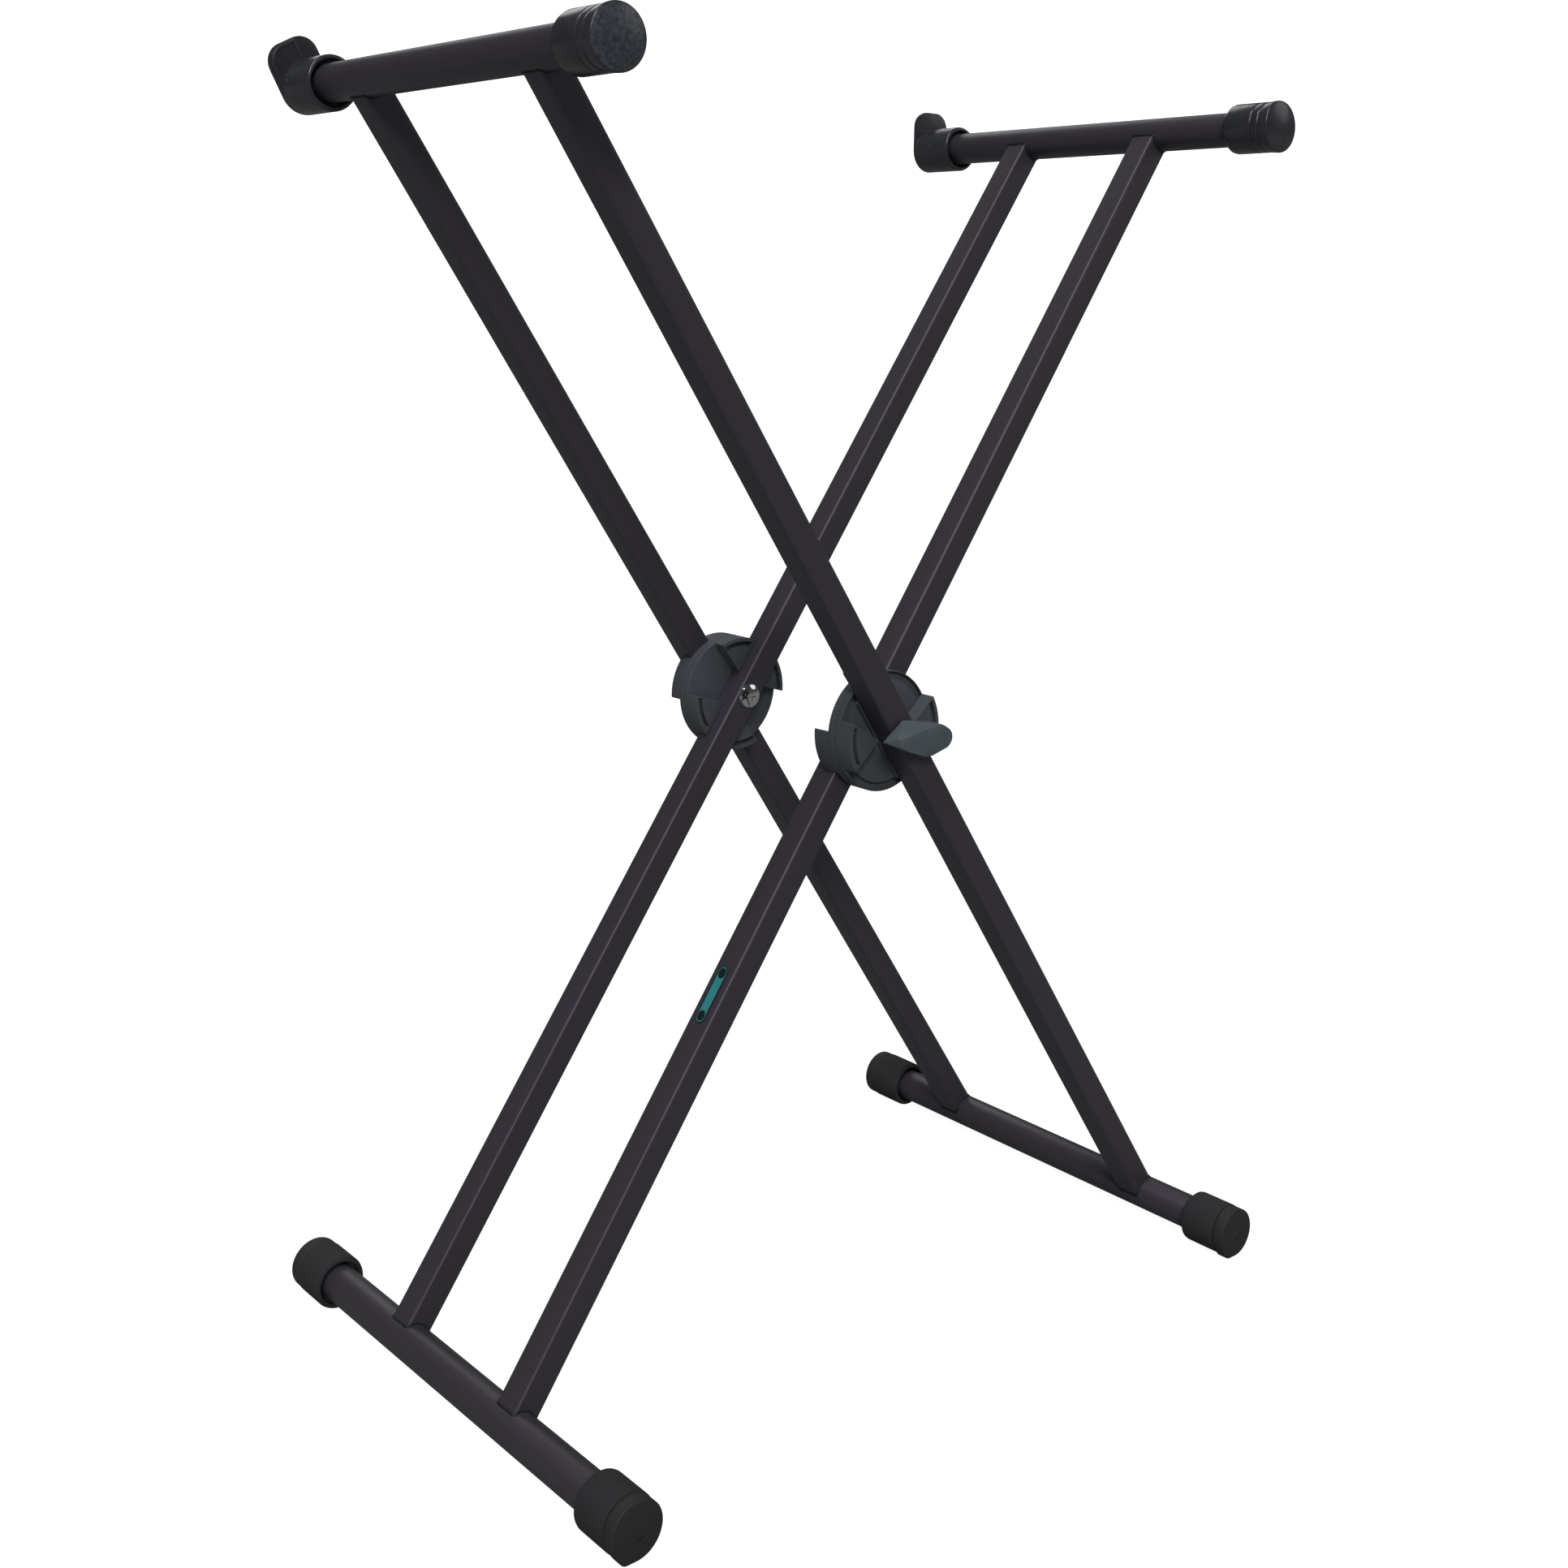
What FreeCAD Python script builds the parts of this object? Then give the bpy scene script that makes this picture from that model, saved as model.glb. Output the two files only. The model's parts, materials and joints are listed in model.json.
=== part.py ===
import FreeCAD, Part
import os
import re

import Sketcher

# A folding keyboard stand: two welded X frames that turn on one pivot axis.
# Millimetres. X is the way the feet spread, Y runs along the round tubes with the
# near end at -Y, and Z is up. The origin is on the floor under the pivot axis.
# The outer frame leans to -X, the inner frame stands between its arms and leans to +X.

SIZES = [
    # name, value, what it is
    ("arm_angle", 55.24, "rise of each arm above the floor, degrees"),
    ("arm_side", 20.0, "outside of the square arm tube"),
    ("arm_wall", 1.5, "wall of the arm tube"),
    ("arm_corner", 2.0, "outside corner radius of the arm tube"),
    ("upper_length", 518.4, "pivot axis to top tube axis"),
    ("lower_length", 497.0, "pivot axis to foot tube axis"),
    ("inner_front_reach", 63.1, "mid plane to the inner frame's near arm"),
    ("inner_rear_reach", 67.5, "mid plane to the inner frame's far arm"),
    ("tube_radius", 12.7, "outside radius of the round tubes"),
    ("tube_wall", 1.5, "wall of the round tubes"),
    ("weld_gap", 0.05, "arm end to round tube before welding"),
    ("cap_fit", 0.1, "rubber sleeve to tube, on the radius"),
    ("cap_reach", 139.5, "mid plane to the mouth of a top cap"),
    ("cap_length", 39.5, "depth of a top cap on its tube"),
    ("cap_wall", 5.5, "wall of a top cap"),
    ("cap_flare", 0.5, "extra radius at the cap's rim"),
    ("cap_shoulder", 4.0, "rounded start of a top cap"),
    ("cap_dome", 3.0, "rise of the cap's closed end"),
    ("cap_groove", 0.8, "depth of the two grooves round a top cap"),
    ("cap_groove_width", 1.4, "width of those grooves"),
    ("first_groove", 24.0, "cap mouth to the first groove"),
    ("second_groove", 30.5, "cap mouth to the second groove"),
    ("top_tube_rear", 170.0, "mid plane to the far end of a top tube"),
    ("outer_stop_reach", 136.5, "mid plane to the outer keyboard stop's mouth"),
    ("inner_stop_reach", 142.5, "mid plane to the inner keyboard stop's mouth"),
    ("stop_length", 36.0, "length of a stop's sleeve"),
    ("stop_wall", 5.6, "wall of a stop's sleeve"),
    ("stop_flange", 3.0, "thickness of a stop's tab"),
    ("stop_rise", 32.4, "tube axis to the top of a stop's tab"),
    ("stop_corner", 13.0, "corner radius of a stop's tab"),
    ("outer_stop_lean", 28.0, "outer stop's tab from upright, degrees"),
    ("block_rise", 2.5, "raised half of the outer stop's tab above the other half"),
    ("block_margin", 0.9, "tab's edge to the raised half"),
    ("block_edge", 4.8, "tube axis to the raised half's inner edge"),
    ("panel_depth", 0.5, "depth of the fan-shaped panel in the raised half"),
    ("panel_margin", 1.8, "edge left round that panel"),
    ("mouth_gap", 2.8, "hollow round the tube in a sleeve's mouth"),
    ("mouth_depth", 7.0, "depth of that hollow"),
    ("foot_reach", 158.0, "mid plane to the mouth of a foot sleeve"),
    ("foot_length", 29.6, "length of a foot sleeve"),
    ("foot_wall", 6.0, "wall of a foot sleeve"),
    ("foot_end", 3.0, "end wall of a foot sleeve"),
    ("foot_round", 3.0, "rounding of a foot sleeve's mouth"),
    ("flat_cut", 0.3, "depth of the flat under a foot sleeve"),
    ("ring_gap", 0.4, "foot sleeve to levelling ring"),
    ("ring_length", 9.0, "length of a levelling ring"),
    ("ring_radius", 18.4, "round side of a levelling ring"),
    ("ring_corner", 19.9, "reach of a levelling ring's corner"),
    ("ring_corner_radius", 6.0, "rounding of that corner"),
    ("spigot_radius", 6.0, "pin that a levelling ring turns on"),
    ("spigot_tail", 6.0, "pin left inside the tube"),
    ("turning_fit", 0.08, "clearance of a turning fit, on the radius"),
    ("edge_break", 0.8, "small chamfer on moulded edges"),
    ("bolt_radius", 4.0, "pivot bolt shank"),
    ("head_radius", 9.3, "domed bolt head"),
    ("head_height", 4.2, "height of the domed bolt head"),
    ("recess_width", 1.6, "arm of the cross recess in a bolt head"),
    ("recess_span", 7.0, "length of the cross recess"),
    ("recess_depth", 1.8, "depth of the cross recess"),
    ("spacer_wall", 1.9, "wall of the spacer through an arm"),
    ("press_gap", 0.05, "spacer to its hole in the arm"),
    ("hub_radius", 42.0, "outside of the hub shells"),
    ("hub_floor", 2.0, "floor of a hub shell"),
    ("saddle", 3.5, "pad under the arm on a front hub shell"),
    ("saddle_margin", 0.5, "saddle beyond each side of the arm"),
    ("cavity_radius", 34.5, "inside of the hub shells"),
    ("parting_gap", 0.3, "seam between two hub shells"),
    ("channel_gap", 0.3, "arm to the lobes that flank it"),
    ("outer_lobe", 7.5, "front outer shell's lobes past the arm's face"),
    ("lobe", 10.0, "other shells' lobes past the arm's face"),
    ("outer_tip_along", 6.5, "pivot axis to the tip of those lobes, along the arm"),
    ("outer_tip_across", 14.0, "pivot axis to that tip, across the arm"),
    ("outer_lobe_start", 24.0, "turn of those lobes' first wall from the arm, degrees"),
    ("outer_lobe_end", 99.0, "turn of their last wall from the arm, degrees"),
    ("outer_slot_start", 42.5, "start of those lobes' slots from the arm, degrees"),
    ("outer_slot_end", 83.5, "end of those slots from the arm, degrees"),
    ("lobe_tip", 9.7, "pivot axis to where the other lobes' walls meet"),
    ("lobe_end", 72.0, "turn of those walls from the arm, degrees"),
    ("slot_start", 19.0, "start of the other lobes' slots from the arm, degrees"),
    ("slot_end", 56.5, "end of those slots from the arm, degrees"),
    ("lobe_round", 2.0, "rounding of a lobe's corners"),
    ("slot_inner", 36.0, "inside radius of the arc slots and the ring groove"),
    ("slot_outer", 39.3, "outside radius of the arc slots"),
    ("slot_depth", 4.0, "depth of the arc slots"),
    ("groove_outer", 41.2, "outside radius of the ring groove"),
    ("groove_depth", 3.0, "depth of the ring groove"),
    ("bush_wall", 3.0, "wall of a pivot bush"),
    ("plate_radius", 33.5, "clutch plates and friction discs"),
    ("plate_gap", 0.3, "bush to the hole of a plate"),
    ("clutch_plate", 2.0, "thickness of the front clutch plate"),
    ("friction_disc", 3.0, "thickness of a friction disc"),
    ("rear_plate", 2.6, "thickness of the rear clutch plate"),
    ("spring_height", 2.4, "height of the clamped disc spring"),
    ("spring_plate", 1.2, "thickness of the disc spring"),
    ("spring_hole", 14.0, "inside radius of the disc spring"),
    ("washer_radius", 9.0, "thrust washers"),
    ("washer_plate", 1.6, "thickness of the thrust washers"),
    ("nut_side", 13.0, "nuts across flats"),
    ("nut_height", 6.5, "height of the nuts"),
    ("nut_fit", 0.05, "nut to its pocket in the lever"),
    ("bolt_tail", 1.5, "bolt beyond its nut"),
    ("lever_depth", 11.0, "thickness of the release lever"),
    ("lever_tip", 25.5, "pivot axis to the lever's pointed end"),
    ("lever_end", 31.0, "pivot axis to the lever's round end"),
    ("lever_peak", 13.0, "pivot axis to the lever's upper and lower edges"),
    ("lever_round", 6.0, "rounding of the lever's broad end"),
    ("ridge_turn", 10.0, "turn of the lever's ridge from level, degrees"),
    ("ridge_slope", 36.0, "lean of the facet above the ridge, degrees"),
    ("nose_turn", 110.0, "turn of the facet at the pointed end, degrees"),
    ("nose_slope", 30.0, "lean of that facet, degrees"),
    ("badge_length", 40.4, "length of the badge"),
    ("badge_width", 8.6, "width of the badge"),
    ("badge_plate", 0.8, "thickness of the badge"),
    ("badge_drop", 209.0, "pivot axis to the middle of the badge, along the arm"),
]

doc = FreeCAD.newDocument("keyboard_stand")
sheet = doc.addObject("Spreadsheet::Sheet", "sizes")
for row, (alias, number, meaning) in enumerate(SIZES, 1):
    sheet.set(f"A{row}", alias)
    sheet.set(f"B{row}", str(number))
    sheet.set(f"C{row}", meaning)
    sheet.setAlias(f"B{row}", alias)
doc.recompute()

ALIASES = {row[0] for row in SIZES}
TINY = 1e-4
QUARTER = FreeCAD.Units.Quantity("90 deg").getValueAs("rad").Value
pieces = []

# Places worked out from the sizes, as formulas.
FOOT_RADIUS = "(tube_radius + cap_fit + foot_wall)"
FOOT_Z = f"({FOOT_RADIUS} - flat_cut)"
FOOT_X = "(lower_length * cos(arm_angle))"
PIVOT_Z = f"({FOOT_Z} + lower_length * sin(arm_angle))"
TOP_X = "(upper_length * cos(arm_angle))"
TOP_Z = f"({PIVOT_Z} + upper_length * sin(arm_angle))"
ARM_HALF = "(arm_side / 2)"
TUBE_BORE = "(tube_radius - tube_wall)"
SLEEVE_BORE = "(tube_radius + cap_fit)"
FOOT_TUBE_REACH = "(foot_reach + foot_length - foot_end)"
RING_START = "(foot_reach + foot_length + ring_gap)"
BOLT_HOLE = "(bolt_radius + turning_fit)"
SPACER_RADIUS = f"({BOLT_HOLE} + spacer_wall)"
BUSH_RADIUS = f"({BOLT_HOLE} + bush_wall)"
FRONT_CAVITY = "((clutch_plate + friction_disc + spring_height) / 2)"
FRONT_HALF_GAP = f"({FRONT_CAVITY} + saddle + hub_floor)"
FRONT_PARTING = f"(inner_front_reach + {ARM_HALF} + {FRONT_HALF_GAP})"
REAR_CAVITY = "((rear_plate + friction_disc) / 2)"
REAR_HALF_GAP = f"({REAR_CAVITY} + hub_floor)"
REAR_PARTING = f"(inner_rear_reach + {ARM_HALF} + {REAR_HALF_GAP})"
REACHES = {
    "inner_front": "inner_front_reach",
    "inner_rear": "inner_rear_reach",
    "outer_front": f"(inner_front_reach + arm_side + 2 * {FRONT_HALF_GAP})",
    "outer_rear": f"(inner_rear_reach + arm_side + 2 * {REAR_HALF_GAP})",
}
LEVER_BACK = f"({REACHES['outer_front']} + {ARM_HALF} + washer_plate)"

# Corners of curved outlines, as shares of a size across and a size up.
DOME_SHARE = 0.8
PANEL_FOOT = 0.95
HEAD_CURVE = ((0.45, 0.88), (0.8, 0.55), (1, 0.12))
LEVER_UPPER = ((-0.6, 1),)
LEVER_BROAD = ((0.65, 0.7), (1, 0.15), (0.94, -0.55))
LEVER_LOWER = ((0.6, -1), (-0.6, -0.6))


def formula(text):
    """Return text with the name of each size turned into its cell."""
    return re.sub(r"[a-z_]+", lambda found: ("sizes." if found[0] in ALIASES else "") + found[0], text)


def value(text):
    """Return the number that a formula gives."""
    result = sheet.evalExpression(formula(text))
    return float(getattr(result, "Value", result))


def bind(thing, **formulas):
    """Bind properties of an object to formulas."""
    for name, text in formulas.items():
        thing.setExpression(name, formula(text))


def at(x, y, z, *turns):
    """Return the formula of a placement at a point, turned about axes, the last turn first."""
    steps = [f"rotation(vector({axis}); {angle})" for axis, angle in turns]
    return f"placement(vector({x}; {y}; {z}); {' * '.join(steps or ['rotation(vector(0; 0; 1); 0)'])})"


def facing_near(x, y, z, turn="0"):
    """Return a placement whose local Z points to -Y and whose local Y points up."""
    return at(x, y, z, ("1; 0; 0", "90"), ("0; 0; 1", turn))


def facing_far(x, y, z, turn="0"):
    """Return a placement whose local Z points to +Y and whose local Y points down."""
    return at(x, y, z, ("1; 0; 0", "-90"), ("0; 0; 1", turn))


def keep(piece, name, placement):
    """Name a finished piece, put it in its place and list it for export."""
    piece.Label = name
    bind(piece, Placement=placement)
    pieces.append(piece)
    return piece


# Sketches and bodies


def new_body(name):
    return doc.addObject("PartDesign::Body", name + "_body")


def new_sketch(body, role, height=None):
    """Attach a sketch to one of its body's own planes, or at a height above it."""
    plane = [item for item in body.Origin.OriginFeatures if item.Role == role][0]
    sketch = body.newObject("Sketcher::SketchObject", "outline")
    sketch.AttachmentSupport = [(plane, "")]
    sketch.MapMode = "FlatFace"
    if height:
        sketch.setExpression("AttachmentOffset.Base.z", formula(height))
    return sketch


def hold(sketch, *details, size):
    """Add a dimension that follows a formula."""
    index = sketch.addConstraint(Sketcher.Constraint(*details, value(size)))
    sketch.setExpression(f"Constraints[{index}]", formula(size))


def pin(sketch, geometry, point, x, y):
    """Hold a point of a sketch at a place given by two formulas."""
    for kind, axis, text in (("DistanceX", -2, x), ("DistanceY", -1, y)):
        if text == "0":
            sketch.addConstraint(Sketcher.Constraint("PointOnObject", geometry, point, axis))
        else:
            hold(sketch, kind, -1, 1, geometry, point, size=text)


def draw_circle(sketch, radius, x="0", y="0"):
    centre = FreeCAD.Vector(value(x), value(y), 0)
    circle = sketch.addGeometry(Part.Circle(centre, FreeCAD.Vector(0, 0, 1), value(radius)), False)
    hold(sketch, "Radius", circle, size=radius)
    pin(sketch, circle, 3, x, y)


def draw_polygon(sketch, corners):
    """Draw a closed outline through corners, each a pair of formulas."""
    points = [FreeCAD.Vector(value(x), value(y), 0) for x, y in corners]
    for start, end in zip(points, points[1:] + points[:1]):
        sketch.addGeometry(Part.LineSegment(start, end), False)
    for line, (x, y) in enumerate(corners):
        sketch.addConstraint(Sketcher.Constraint("Coincident", line, 2, (line + 1) % len(corners), 1))
        pin(sketch, line, 1, x, y)


def pad(body, sketch, length):
    feature = body.newObject("PartDesign::Pad", "pad")
    feature.Profile = sketch
    bind(feature, Length=length)
    sketch.Visibility = False
    return feature


def pocket(body, sketch, depth, reverse=False):
    """Cut a pocket into a body; reverse cuts towards the sketch plane's own normal."""
    feature = body.newObject("PartDesign::Pocket", "pocket")
    feature.Profile = sketch
    feature.Reversed = reverse
    bind(feature, Length=depth)
    return feature


def dress(body, kind, size, wanted):
    """Fillet or chamfer the edges of a body's last feature that the test picks."""
    doc.recompute()
    base = body.Tip
    names = [f"Edge{number}" for number, edge in enumerate(base.Shape.Edges, 1) if wanted(edge)]
    feature = body.newObject("PartDesign::" + kind, kind.lower())
    feature.Base = (base, names)
    feature.setExpression("Radius" if kind == "Fillet" else "Size", formula(size))
    return feature


def flat_at(height):
    """Return a test for edges that lie in the plane at a height."""
    level = value(height)
    return lambda edge: abs(edge.BoundBox.ZMin - level) < TINY and abs(edge.BoundBox.ZMax - level) < TINY


def outermost(edge):
    """Tell whether a round edge is on the outside of a turned piece."""
    return edge.BoundBox.XLength > 1.9 * value("ring_radius")


# Solids by primitives


def cylinder(radius, height, start="0"):
    return sector(radius, height, start, "0", "360")


def sector(radius, height, start, first, last, x="0", y="0"):
    """Make a slice of a cylinder between two turns from local X, with its tip at x and y."""
    piece = doc.addObject("Part::Cylinder", "cylinder")
    bind(piece, Radius=radius, Height=height, Angle=f"({last}) - ({first})")
    bind(piece, Placement=at(x, y, start, ("0; 0; 1", first)))
    return piece


def box(length, width, height, x="0", y="0", z="0"):
    """Make a box centred on x and y that starts at z."""
    piece = doc.addObject("Part::Box", "box")
    bind(piece, Length=length, Width=width, Height=height)
    bind(piece, Placement=at(f"({x}) - ({length}) / 2", f"({y}) - ({width}) / 2", z))
    return piece


def join(*parts):
    if len(parts) == 1:
        return parts[0]
    result = doc.addObject("Part::MultiFuse", "join")
    result.Shapes = list(parts)
    result.Refine = True
    return result


def cut(base, *tools):
    result = doc.addObject("Part::Cut", "cut")
    result.Base = base
    result.Tool = join(*tools)
    result.Refine = True
    return result


def overlap(first, second):
    result = doc.addObject("Part::Common", "common")
    result.Base = first
    result.Tool = second
    result.Refine = True
    return result


def soften(kind, base, size, wanted):
    """Fillet or chamfer the edges of a solid that the test picks."""
    doc.recompute()
    result = doc.addObject("Part::" + kind, kind.lower())
    result.Base = base
    amount = value(size)
    edges = enumerate(base.Shape.Edges, 1)
    result.Edges = [(number, amount, amount) for number, edge in edges if wanted(edge)]
    return result


# The two frames


def make_arm(name, y, lean, foot_x):
    """Make one square arm; its local Z runs up the arm from the foot tube's axis."""
    body = new_body(name)
    profile = new_sketch(body, "XY_Plane")
    draw_rounded_square(profile, "arm_side", "arm_corner")
    draw_rounded_square(profile, "arm_side - 2 * arm_wall", "arm_corner - arm_wall")
    pad(body, profile, "lower_length + upper_length")
    holes = new_sketch(body, "XZ_Plane")
    draw_circle(holes, "tube_radius + weld_gap")
    draw_circle(holes, "tube_radius + weld_gap", "0", "lower_length + upper_length")
    draw_circle(holes, f"{SPACER_RADIUS} + press_gap", "0", "lower_length")
    through = pocket(body, holes, "1")
    through.Type = "ThroughAll"
    through.SideType = "Symmetric"
    keep(body, name, at(foot_x, y, FOOT_Z, ("0; 1; 0", lean)))


def draw_rounded_square(sketch, side, corner):
    """Draw a square with round corners, centred on the sketch's origin."""
    first = sketch.GeometryCount
    inset = value(f"({side}) / 2 - ({corner})")
    radius = value(corner)
    signs = ((1, 1), (-1, 1), (-1, -1), (1, -1))
    up = FreeCAD.Vector(0, 0, 1)
    for quarter, (right, top) in enumerate(signs):
        circle = Part.Circle(FreeCAD.Vector(right * inset, top * inset, 0), up, radius)
        start = quarter * QUARTER
        sketch.addGeometry(Part.ArcOfCircle(circle, start, start + QUARTER), False)
    for quarter in range(4):
        start = sketch.getPoint(first + quarter, 2)
        end = sketch.getPoint(first + (quarter + 1) % 4, 1)
        sketch.addGeometry(Part.LineSegment(start, end), False)
    for quarter in range(4):
        line = first + 4 + quarter
        following = first + (quarter + 1) % 4
        sketch.addConstraint(Sketcher.Constraint("Tangent", first + quarter, 2, line, 1))
        sketch.addConstraint(Sketcher.Constraint("Tangent", line, 2, following, 1))
        direction = "Vertical" if quarter % 2 else "Horizontal"
        sketch.addConstraint(Sketcher.Constraint(direction, line))
        if quarter:
            sketch.addConstraint(Sketcher.Constraint("Equal", first, first + quarter))
    hold(sketch, "Radius", first, size=corner)
    hold(sketch, "DistanceX", -1, 1, first, 3, size=f"({side}) / 2 - ({corner})")
    hold(sketch, "DistanceY", -1, 1, first, 3, size=f"({side}) / 2 - ({corner})")
    sketch.addConstraint(Sketcher.Constraint("Symmetric", first, 3, first + 2, 3, -1, 1))


def make_ring(name, outer, inner, length, placement):
    """Make a plain ring, tube or washer along its local Z."""
    body = new_body(name)
    profile = new_sketch(body, "XY_Plane")
    draw_circle(profile, outer)
    draw_circle(profile, inner)
    pad(body, profile, length)
    keep(body, name, placement)


def make_frame(frame, side, lean):
    """Make the arms, spacers and tubes of one frame; side is the sign of its foot's X."""
    foot_x = f"{side} * {FOOT_X}"
    for end, sign in (("front", "-1"), ("rear", "1")):
        y = f"{sign} * {REACHES[f'{frame}_{end}']}"
        make_arm(f"{frame}_{end}_arm", y, lean, foot_x)
        spacer_start = f"{y} + {ARM_HALF}"
        place = facing_near("0", spacer_start, PIVOT_Z)
        make_ring(f"{frame}_{end}_arm_spacer", SPACER_RADIUS, BOLT_HOLE, "arm_side", place)
    top_place = facing_far(f"-1 * {side} * {TOP_X}", "0 - cap_reach - cap_length", TOP_Z)
    top_length = "cap_reach + cap_length + top_tube_rear"
    make_ring(f"{frame}_top_tube", "tube_radius", TUBE_BORE, top_length, top_place)
    foot_place = facing_far(foot_x, f"0 - {FOOT_TUBE_REACH}", FOOT_Z)
    make_ring(f"{frame}_foot_tube", "tube_radius", TUBE_BORE, f"2 * {FOOT_TUBE_REACH}", foot_place)


# Rubber caps, keyboard stops and feet


def make_top_cap(name, x):
    """Make the closed cap on the near end of a top tube, turned about its local Z."""
    body = new_body(name)
    profile = new_sketch(body, "XZ_Plane")
    radius = f"({SLEEVE_BORE} + cap_wall)"
    groove = f"({radius} - cap_groove)"
    rim = f"({radius} + cap_flare)"
    corners = [(SLEEVE_BORE, "0"), (radius, "0")]
    for start in ("first_groove", "second_groove"):
        corners.append((radius, start))
        corners.append((groove, f"{start} + cap_groove_width / 2"))
        corners.append((radius, f"{start} + cap_groove_width"))
    corners += [(rim, "cap_length + weld_gap"), ("tube_radius", f"cap_length + cap_dome * {DOME_SHARE}")]
    corners += [("0", "cap_length + cap_dome"), ("0", "cap_length"), (SLEEVE_BORE, "cap_length")]
    draw_polygon(profile, corners)
    turned = body.newObject("PartDesign::Revolution", "turned")
    turned.Profile = profile
    turned.ReferenceAxis = (profile, ["V_Axis"])
    dress(body, "Fillet", "cap_shoulder", lambda edge: flat_at("0")(edge) and outermost(edge))
    keep(body, name, facing_near(x, "0 - cap_reach", TOP_Z))


def make_stop(name, x, y, lean, panelled):
    """Make a keyboard stop: a sleeve closed by an end plate that rises as a tab, raised on one half."""
    body = new_body(name)
    radius = f"({SLEEVE_BORE} + stop_wall)"
    sleeve = new_sketch(body, "XY_Plane")
    draw_circle(sleeve, radius)
    pad(body, sleeve, "stop_length")
    plate = new_sketch(body, "XY_Plane", "stop_length")
    draw_tab(plate, radius, "stop_rise", "stop_corner")
    pad(body, plate, "stop_flange")
    if panelled:
        block = new_sketch(body, "XY_Plane", "stop_length - block_rise")
        draw_half_tab(block, radius, "block_margin", "0")
        pad(body, block, "block_rise")
        panel = new_sketch(body, "XY_Plane", "stop_length - block_rise")
        draw_half_tab(panel, radius, "block_margin + panel_margin", f"0 - {radius} * {PANEL_FOOT}")
        pocket(body, panel, "panel_depth", reverse=True)
    for hole_radius, depth in ((SLEEVE_BORE, "stop_length"), ("tube_radius + mouth_gap", "mouth_depth")):
        hole = new_sketch(body, "XY_Plane")
        draw_circle(hole, hole_radius)
        pocket(body, hole, depth, reverse=True)
    dress(body, "Chamfer", "edge_break", flat_at("0"))
    keep(body, name, facing_far(x, y, TOP_Z, lean))


def draw_half_tab(sketch, radius, margin, foot):
    """Draw the half of the tab towards local -X, inside its edge by a margin, down to a foot line."""
    left = f"{margin} - {radius}"
    top = f"{margin} - stop_rise"
    inner = f"block_edge + block_margin - ({margin})"
    bend = f"(stop_corner - ({margin})) * (1 - cos(45))"
    draw_polygon(sketch, [
        (left, foot),
        (left, "stop_corner - stop_rise"),
        (f"{left} + {bend}", f"{top} + {bend}"),
        (f"stop_corner - {radius}", top),
        (inner, top),
        (inner, foot),
    ])


def draw_tab(sketch, radius, rise, corner):
    """Draw a half circle with straight sides up to two round corners, towards local -Y."""
    up = FreeCAD.Vector(0, 0, 1)
    wide = value(radius)
    inset = value(f"{radius} - {corner}")
    level = value(f"{corner} - {rise}")
    sketch.addGeometry(Part.ArcOfCircle(Part.Circle(FreeCAD.Vector(), up, wide), 0, 2 * QUARTER), False)
    for side, start in ((-1, 2 * QUARTER), (1, 3 * QUARTER)):
        circle = Part.Circle(FreeCAD.Vector(side * inset, level, 0), up, value(corner))
        sketch.addGeometry(Part.ArcOfCircle(circle, start, start + QUARTER), False)
    for first, first_end, second, second_end in ((0, 2, 1, 1), (1, 2, 2, 1), (2, 2, 0, 1)):
        start = sketch.getPoint(first, first_end)
        line = sketch.addGeometry(Part.LineSegment(start, sketch.getPoint(second, second_end)), False)
        sketch.addConstraint(Sketcher.Constraint("Tangent", first, first_end, line, 1))
        sketch.addConstraint(Sketcher.Constraint("Tangent", line, 2, second, second_end))
    sketch.addConstraint(Sketcher.Constraint("Coincident", 0, 3, -1, 1))
    sketch.addConstraint(Sketcher.Constraint("Equal", 1, 2))
    sketch.addConstraint(Sketcher.Constraint("Vertical", 3))
    sketch.addConstraint(Sketcher.Constraint("Horizontal", 4))
    sketch.addConstraint(Sketcher.Constraint("Vertical", 5))
    hold(sketch, "Radius", 0, size=radius)
    hold(sketch, "Radius", 1, size=corner)
    hold(sketch, "DistanceY", -1, 1, 1, 3, size=f"{corner} - {rise}")


def make_foot_sleeve(name, x, facing, side):
    """Make a foot sleeve, open at its mouth, with a flat underneath and a pin hole in its end."""
    blank = cylinder(FOOT_RADIUS, "foot_length")
    blank = soften("Fillet", blank, "foot_round", flat_at("0"))
    blank = soften("Chamfer", blank, "edge_break", flat_at("foot_length"))
    bore = cylinder(SLEEVE_BORE, "foot_length - foot_end")
    mouth = cylinder("tube_radius + mouth_gap", "mouth_depth")
    pin_hole = cylinder("spigot_radius + turning_fit", "foot_length")
    under = "1" if side == "1" else "-1"
    flat = box(f"2 * {FOOT_RADIUS}", "2 * foot_wall", "foot_length", y=f"{under} * ({FOOT_Z} + foot_wall)")
    sleeve = cut(blank, bore, mouth, pin_hole, flat)
    keep(sleeve, name, facing(x, f"{side} * foot_reach", FOOT_Z))


def make_levelling_ring(name, x, facing, side, turn):
    """Make a levelling ring: a round disc with one blunt corner, and the pin that it turns on."""
    body = new_body(name)
    disc = new_sketch(body, "XY_Plane")
    draw_cornered_disc(disc)
    pad(body, disc, "ring_length")
    pin_circle = new_sketch(body, "XY_Plane")
    draw_circle(pin_circle, "spigot_radius")
    spigot = pad(body, pin_circle, "ring_gap + foot_end + spigot_tail")
    spigot.Reversed = True
    dress(body, "Chamfer", "edge_break", lambda edge: outermost(edge) or corner_edge(edge))
    keep(body, name, facing(x, f"{side} * {RING_START}", FOOT_Z, turn))


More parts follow.
